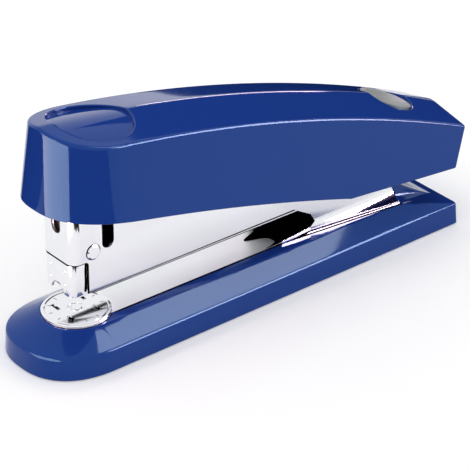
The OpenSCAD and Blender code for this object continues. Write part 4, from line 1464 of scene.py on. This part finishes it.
@dataclass
class CapRibs:
    """What the cap carries inside: hinge lugs, screw bosses, the spring's seat and cross ribs.

    Attributes:
        cap: the cap that they stand in.
        pin: X and Z of the hinge pin.
        lug: radius of the lugs, and the half-widths between which they lie.
        screw: X and Y of the screws, and the lower end of their bosses.
        boss_r: radius of the bosses.
        seat: X of the spring's seat, its radii and its lower end.
        rib_x: front faces of the ribs.
        rib: thickness and depth of the ribs.
        rib_room: how far the ribs' ends stay back from the middle of the side walls.
        sleeve: how far inside the recess the face and the lip of the sleeve of painted shade lie.
        sleeve_z: depths of the sleeve's top, the lip's top and its foot.
    """

    cap: CapShell
    pin: tuple[float, float] = (118.8, 33.0)
    lug: Triple = (6.0, 10.9, 12.9)
    screw: Triple = (10.0, 4.4, 79.8)
    boss_r: float = 2.4
    seat: tuple[float, float, float, float] = (30.0, 6.4, 7.6, 74.0)
    rib_x: Triple = (48.0, 72.0, 96.0)
    rib: tuple[float, float] = (1.6, 9.0)
    rib_room: float = 0.3
    sleeve: tuple[float, float] = (0.18, 0.94)
    sleeve_z: Triple = (0.45, 1.45, 1.8)

    def build(self) -> bpy.types.Object:
        """Builds all of them as one piece; each reaches half-way into the roof's thickness.

        Returns:
            The piece.
        """
        work = Prisms()
        cap, (px, pz), (r, y0, y1) = self.cap, self.pin, self.lug
        bite = cap.wall / 2
        x = np.linspace(px - r, px + r, 9)
        roof = np.stack([x, cap.roof(x, np.full(9, y1)) - bite], axis=1)
        lug = np.concatenate([roof, arc((px, pz), r, 0, -180, 21)])
        for side in (-1, 1):
            work.add(lug, side * y0, side * y1, Axis.Y)
            sx, sy, low = self.screw
            work.add(arc((sx, side * sy), self.boss_r, 0, 345, 24), low,
                     float(cap.dish_floor(np.array(sx), np.array(sy))) - bite)
        sx, r0, r1, low = self.seat
        ring = np.concatenate([arc((sx, 0.0), r1, 0, 360, 41), arc((sx, 0.0), r0, 360, 0, 41)])
        work.add(ring, low, cap.roof(ring[:, 0], ring[:, 1]) - bite)
        end = cap.edge_half - bite - self.rib_room
        y = np.linspace(-end, end, 21)
        for rib_x in self.rib_x:
            top = cap.roof(np.full(21, rib_x), y) - bite
            foot = float(cap.ridge(np.array(rib_x))) - self.rib[1]
            outline = np.concatenate([np.stack([y, top], axis=1), [[y[-1], foot], [y[0], foot]]])
            work.add(outline, rib_x, rib_x + self.rib[0], Axis.X)
        return work.build("cap_ribs", edge=0.15)

    def painted_shade(self) -> bpy.types.Object:
        """Builds a dark green sleeve in the button's recess, with a lip under the button's edge: painted
        shade on the recess's walls.

        Returns:
            The sleeve of painted shade.
        """
        cap = self.cap
        angles = np.linspace(0.0, 2 * math.pi, 97)[:-1]
        a, b = cap.hole_half
        wide, face, lip = (cap.bored(cap.hole_x, (a - inset, b - inset), angles, 0.0)
                           for inset in (0.0, *self.sleeve))
        top, shelf, foot = self.sleeve_z
        profile = ((wide, top), (face, top), (face, shelf), (lip, shelf), (lip, foot), (wide, foot),
                   (wide, top))
        rows = [cap.below(ring, cap.hole_x, depth) for ring, depth in profile]
        work = Patchwork()
        work.grid(np.stack(rows, axis=1), loop=True)
        return work.build("button_painted_shade", sharp_deg=30.0)


WARM = (1.0, 0.66, 0.62)
ROSE = (1.0, 0.7, 0.84)
WHITE = (1.0, 1.0, 1.0)
METRE_SQUARE = np.column_stack([box(-0.5, 0.5, -0.5, 0.5), np.zeros(4)])


def facing(at: Triple, aim: Triple) -> Quaternion:
    """Turn that brings a lamp or card at one point to face another."""
    return (Vector(aim) - Vector(at)).to_track_quat("-Z", "Y")


def studio_sheet(name: str, corners: np.ndarray, finish: bpy.types.Material) -> bpy.types.Object:
    """Makes a four-cornered sheet of the studio.

    Args:
        name: the sheet's name.
        corners: 4 by 3 points in metres.
        finish: its material.

    Returns:
        The sheet.
    """
    mesh = bpy.data.meshes.new(name)
    mesh.from_pydata(corners.tolist(), [], [(0, 1, 2, 3)])
    mesh.materials.append(finish)
    sheet = place(name, mesh)
    return sheet


def dull(name: str, grey: float, roughness: float) -> bpy.types.Material:
    """Makes a grey node material without shine.

    Args:
        name: the material's name.
        grey: how much light it gives back.
        roughness: roughness of its shader.

    Returns:
        The material.
    """
    mat = bpy.data.materials.new(name)
    mat.use_nodes = True
    shader = mat.node_tree.nodes["Principled BSDF"]
    shader.inputs["Base Color"].default_value = (grey, grey, grey, 1.0)
    shader.inputs["Roughness"].default_value = roughness
    shader.inputs["Specular IOR Level"].default_value = 0.0
    return mat


@dataclass(frozen=True)
class Lamp:
    """Rectangular soft lamp.

    Attributes:
        name: its name.
        at: its position in metres.
        aim: the point it faces.
        size: width and height in metres.
        glow: radiance of its face.
        mirrored: its colour, if only mirrors see it; otherwise it is white and only lights.
        roll: turn about its own axis in degrees.
    """

    name: str
    at: Triple
    aim: Triple
    size: tuple[float, float]
    glow: float
    mirrored: Triple | None = None
    roll: float = 0.0

    def build(self) -> None:
        """Makes the lamp and sets which rays see it."""
        data = bpy.data.lights.new(self.name, "AREA")
        data.shape = "RECTANGLE"
        data.size, data.size_y = self.size
        data.energy = self.glow * math.pi * self.size[0] * self.size[1]
        data.color = self.mirrored or WHITE
        lamp = place(self.name, data)
        lamp.location = self.at
        turn = facing(self.at, self.aim) @ Quaternion((0.0, 0.0, 1.0), math.radians(self.roll))
        lamp.rotation_euler = turn.to_euler()
        lamp.visible_camera = False
        lamp.visible_diffuse = self.mirrored is None
        lamp.visible_glossy = self.mirrored is not None


@dataclass(frozen=True)
class Flag:
    """Black card that only mirrors see, as studios set for dark reflections.

    Attributes:
        name: its name.
        at: its position in metres.
        aim: the point it faces.
        size: width and height in metres.
    """

    name: str
    at: Triple
    aim: Triple
    size: tuple[float, float]

    def build(self) -> None:
        """Makes the card and hides it from all but mirrors."""
        turn = facing(self.at, self.aim).to_matrix()
        corners = (METRE_SQUARE * [*self.size, 0.0]) @ np.array(turn).T + np.array(self.at)
        card = studio_sheet(self.name, corners, dull(self.name, 0.0, 1.0))
        card.visible_camera = False
        card.visible_diffuse = False
        card.visible_shadow = False
        card.visible_transmission = False


LAMPS = (
    Lamp("overhead_box", at=(0.467, -0.232, 0.76), aim=(0.467, -0.232, 0.0), size=(0.42, 0.17), glow=13.0,
         mirrored=WARM, roll=-28.0),
    Lamp("edge_box", at=(0.80, -0.66, 0.44), aim=(0.08, 0.0, 0.05), size=(0.86, 0.52), glow=30.0,
         mirrored=ROSE),
    Lamp("front_card", at=(-0.10, -0.018, 0.046), aim=(0.0, -0.018, 0.046), size=(0.102, 0.12), glow=14.0,
         mirrored=WARM, roll=33.0),
    Lamp("ridge_strip", at=(0.507, 0.413, 0.1635), aim=(0.08, 0.0, 0.08), size=(0.2, 0.045), glow=16.0,
         mirrored=ROSE),
    Lamp("soft_key", at=(0.10, 0.15, 0.95), aim=(0.07, 0.0, 0.0), size=(0.7, 0.7), glow=0.8),
)
FLAGS = (
    Flag("roof_flag", at=(1.064, 0.591, 0.42), aim=(0.08, 0.0, 0.06), size=(0.49, 0.80)),
    Flag("back_flag", at=(0.32, 0.33, 0.002), aim=(0.32, 0.33, 1.0), size=(0.36, 0.46)),
    Flag("left_flag", at=(-0.20, 0.25, 0.002), aim=(-0.20, 0.25, 1.0), size=(0.40, 0.30)),
    Flag("near_flag", at=(-0.12, -0.22, 0.002), aim=(-0.12, -0.22, 1.0), size=(0.32, 0.23)),
)


@dataclass
class Studio:
    """White sweep, soft lamps and the camera.

    Attributes:
        camera_at: camera position in metres.
        heading: turn about Z in degrees.
        pitch: turn about X in degrees.
        roll: turn about the view axis in degrees.
        lens: focal length in millimetres on a 36 mm sensor.
        floor_lift: light added to the floor where it is seen or mirrored.
        floor_grey: how much light the floor gives back.
        floor_side: side of the floor in metres.
        fill: strength of the world's light where it isn't seen.
    """

    camera_at: Triple = (-0.4338, -0.6131, 0.4784)
    heading: float = -39.453
    pitch: float = 59.873
    roll: float = 0.16
    lens: float = 195.57
    floor_lift: float = 0.2
    floor_grey: float = 0.93
    floor_side: float = 12.0
    fill: float = 0.8

    def build(self) -> None:
        """Makes the camera, the world, the floor, the lamps and the flags."""
        self._camera()
        self._world()
        self._floor()
        for item in (*LAMPS, *FLAGS):
            item.build()

    def _camera(self) -> None:
        """Points the camera: turned about Z, then X, then rolled."""
        data = bpy.data.cameras.new("camera")
        data.lens = self.lens
        data.sensor_width = 36.0
        data.clip_start = 0.01
        camera = place("camera", data)
        heading = Matrix.Rotation(math.radians(self.heading), 4, "Z")
        pitch = Matrix.Rotation(math.radians(self.pitch), 4, "X")
        roll = Matrix.Rotation(math.radians(self.roll), 4, "Z")
        camera.matrix_world = Matrix.Translation(self.camera_at) @ (heading @ pitch @ roll)
        bpy.context.scene.camera = camera

    @staticmethod
    def _white_rays(nodes: bpy.types.Nodes, links: bpy.types.NodeLinks) -> bpy.types.NodeSocket:
        """Adds the tests for camera, glossy and transmission rays.

        Args:
            nodes: nodes of the world or material.
            links: its links.

        Returns:
            A socket with the tests' sum, capped at 1.
        """
        path = nodes.new("ShaderNodeLightPath")
        first = nodes.new("ShaderNodeMath")
        second = nodes.new("ShaderNodeMath")
        for node in (first, second):
            node.operation = "ADD"
            node.use_clamp = True
        links.new(path.outputs["Is Camera Ray"], first.inputs[0])
        links.new(path.outputs["Is Glossy Ray"], first.inputs[1])
        links.new(first.outputs["Value"], second.inputs[0])
        links.new(path.outputs["Is Transmission Ray"], second.inputs[1])
        return second.outputs["Value"]

    def _world(self) -> None:
        """White where it is seen or mirrored, and a soft pale light elsewhere."""
        world = bpy.data.worlds.new("studio")
        world.use_nodes = True
        nodes, links = world.node_tree.nodes, world.node_tree.links
        back = nodes["Background"]
        back.inputs["Color"].default_value = (*WHITE, 1.0)
        mix = nodes.new("ShaderNodeMapRange")
        mix.inputs["To Min"].default_value = self.fill
        mix.inputs["To Max"].default_value = 1.0
        links.new(self._white_rays(nodes, links), mix.inputs["Value"])
        links.new(mix.outputs["Result"], back.inputs["Strength"])
        bpy.context.scene.world = world

    def _floor(self) -> None:
        """A wide pale floor: it keeps the shadow and is lifted to white where it is seen or mirrored."""
        mat = dull("floor_white", self.floor_grey, 0.6)
        nodes, links = mat.node_tree.nodes, mat.node_tree.links
        glow = nodes.new("ShaderNodeEmission")
        lift = nodes.new("ShaderNodeMath")
        lift.operation = "MULTIPLY"
        lift.inputs[1].default_value = self.floor_lift
        links.new(self._white_rays(nodes, links), lift.inputs[0])
        links.new(lift.outputs["Value"], glow.inputs["Strength"])
        both = nodes.new("ShaderNodeAddShader")
        links.new(nodes["Principled BSDF"].outputs["BSDF"], both.inputs[0])
        links.new(glow.outputs["Emission"], both.inputs[1])
        links.new(both.outputs["Shader"], nodes["Material Output"].inputs["Surface"])
        studio_sheet("floor", METRE_SQUARE * self.floor_side, mat)


def dress_nodes() -> None:
    """Gives every CAD node its finish."""
    for name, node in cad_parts.items():
        finish = NODE_FINISH.get(name, STEEL)
        node.data.materials.clear()
        node.data.materials.append(finish.material())


def main() -> None:
    """Builds the stapler's visible pieces and the studio."""
    logging.basicConfig(level=logging.INFO)
    bpy.context.scene.view_settings.view_transform = "Standard"
    dress_nodes()
    cap = CapShell()
    dress(cap.build(), BLUE, "cap", "blue_shell", "cap_shell")
    base = BaseShell()
    dress(base.build(), BLUE, "base", "blue_shell", "base_shell")
    dress(base.fairing(), BLUE, "base", "blue_shell")
    dress(base.plate_form(), SATIN, "base", "chrome", "base_plate")
    # Painted shade in the gap round the plate.
    dress(base.seam(), BLACK, "base", "black_plastic")
    # The block is black plastic; its black film on the plate is a painted reflection.
    dress(RearBlock().build(), BLACK, "base", "black_plastic", "spring_block")
    ribs = CapRibs(cap)
    dress(ribs.build(), BLUE, "cap", "blue_shell")
    # The dark green sleeve in the button's recess is painted shade.
    dress(ribs.painted_shade(), SHADE_GREEN, "cap", "black_plastic")
    # Black ribbon and rivet rings of painted shade on the arm.
    dress(HoodPaintedShade().build(), BLACK, "arm", "black_plastic")
    lips, shade_strips = MagazineLips().build()
    dress(lips, CHROME, "drawer", "chrome")
    # Black strips of painted shade under the magazine's lips.
    dress(shade_strips, BLACK, "drawer", "black_plastic")
    # The dark lenses in the disc's pockets are painted shade; the ticks are marks on the disc.
    dress(DiscMarks().build(), BLACK, "anvil", "black_plastic")
    for pressing in PRESSINGS:
        pressing.build()
    Studio().build()


if __name__ == "__main__":
    main()
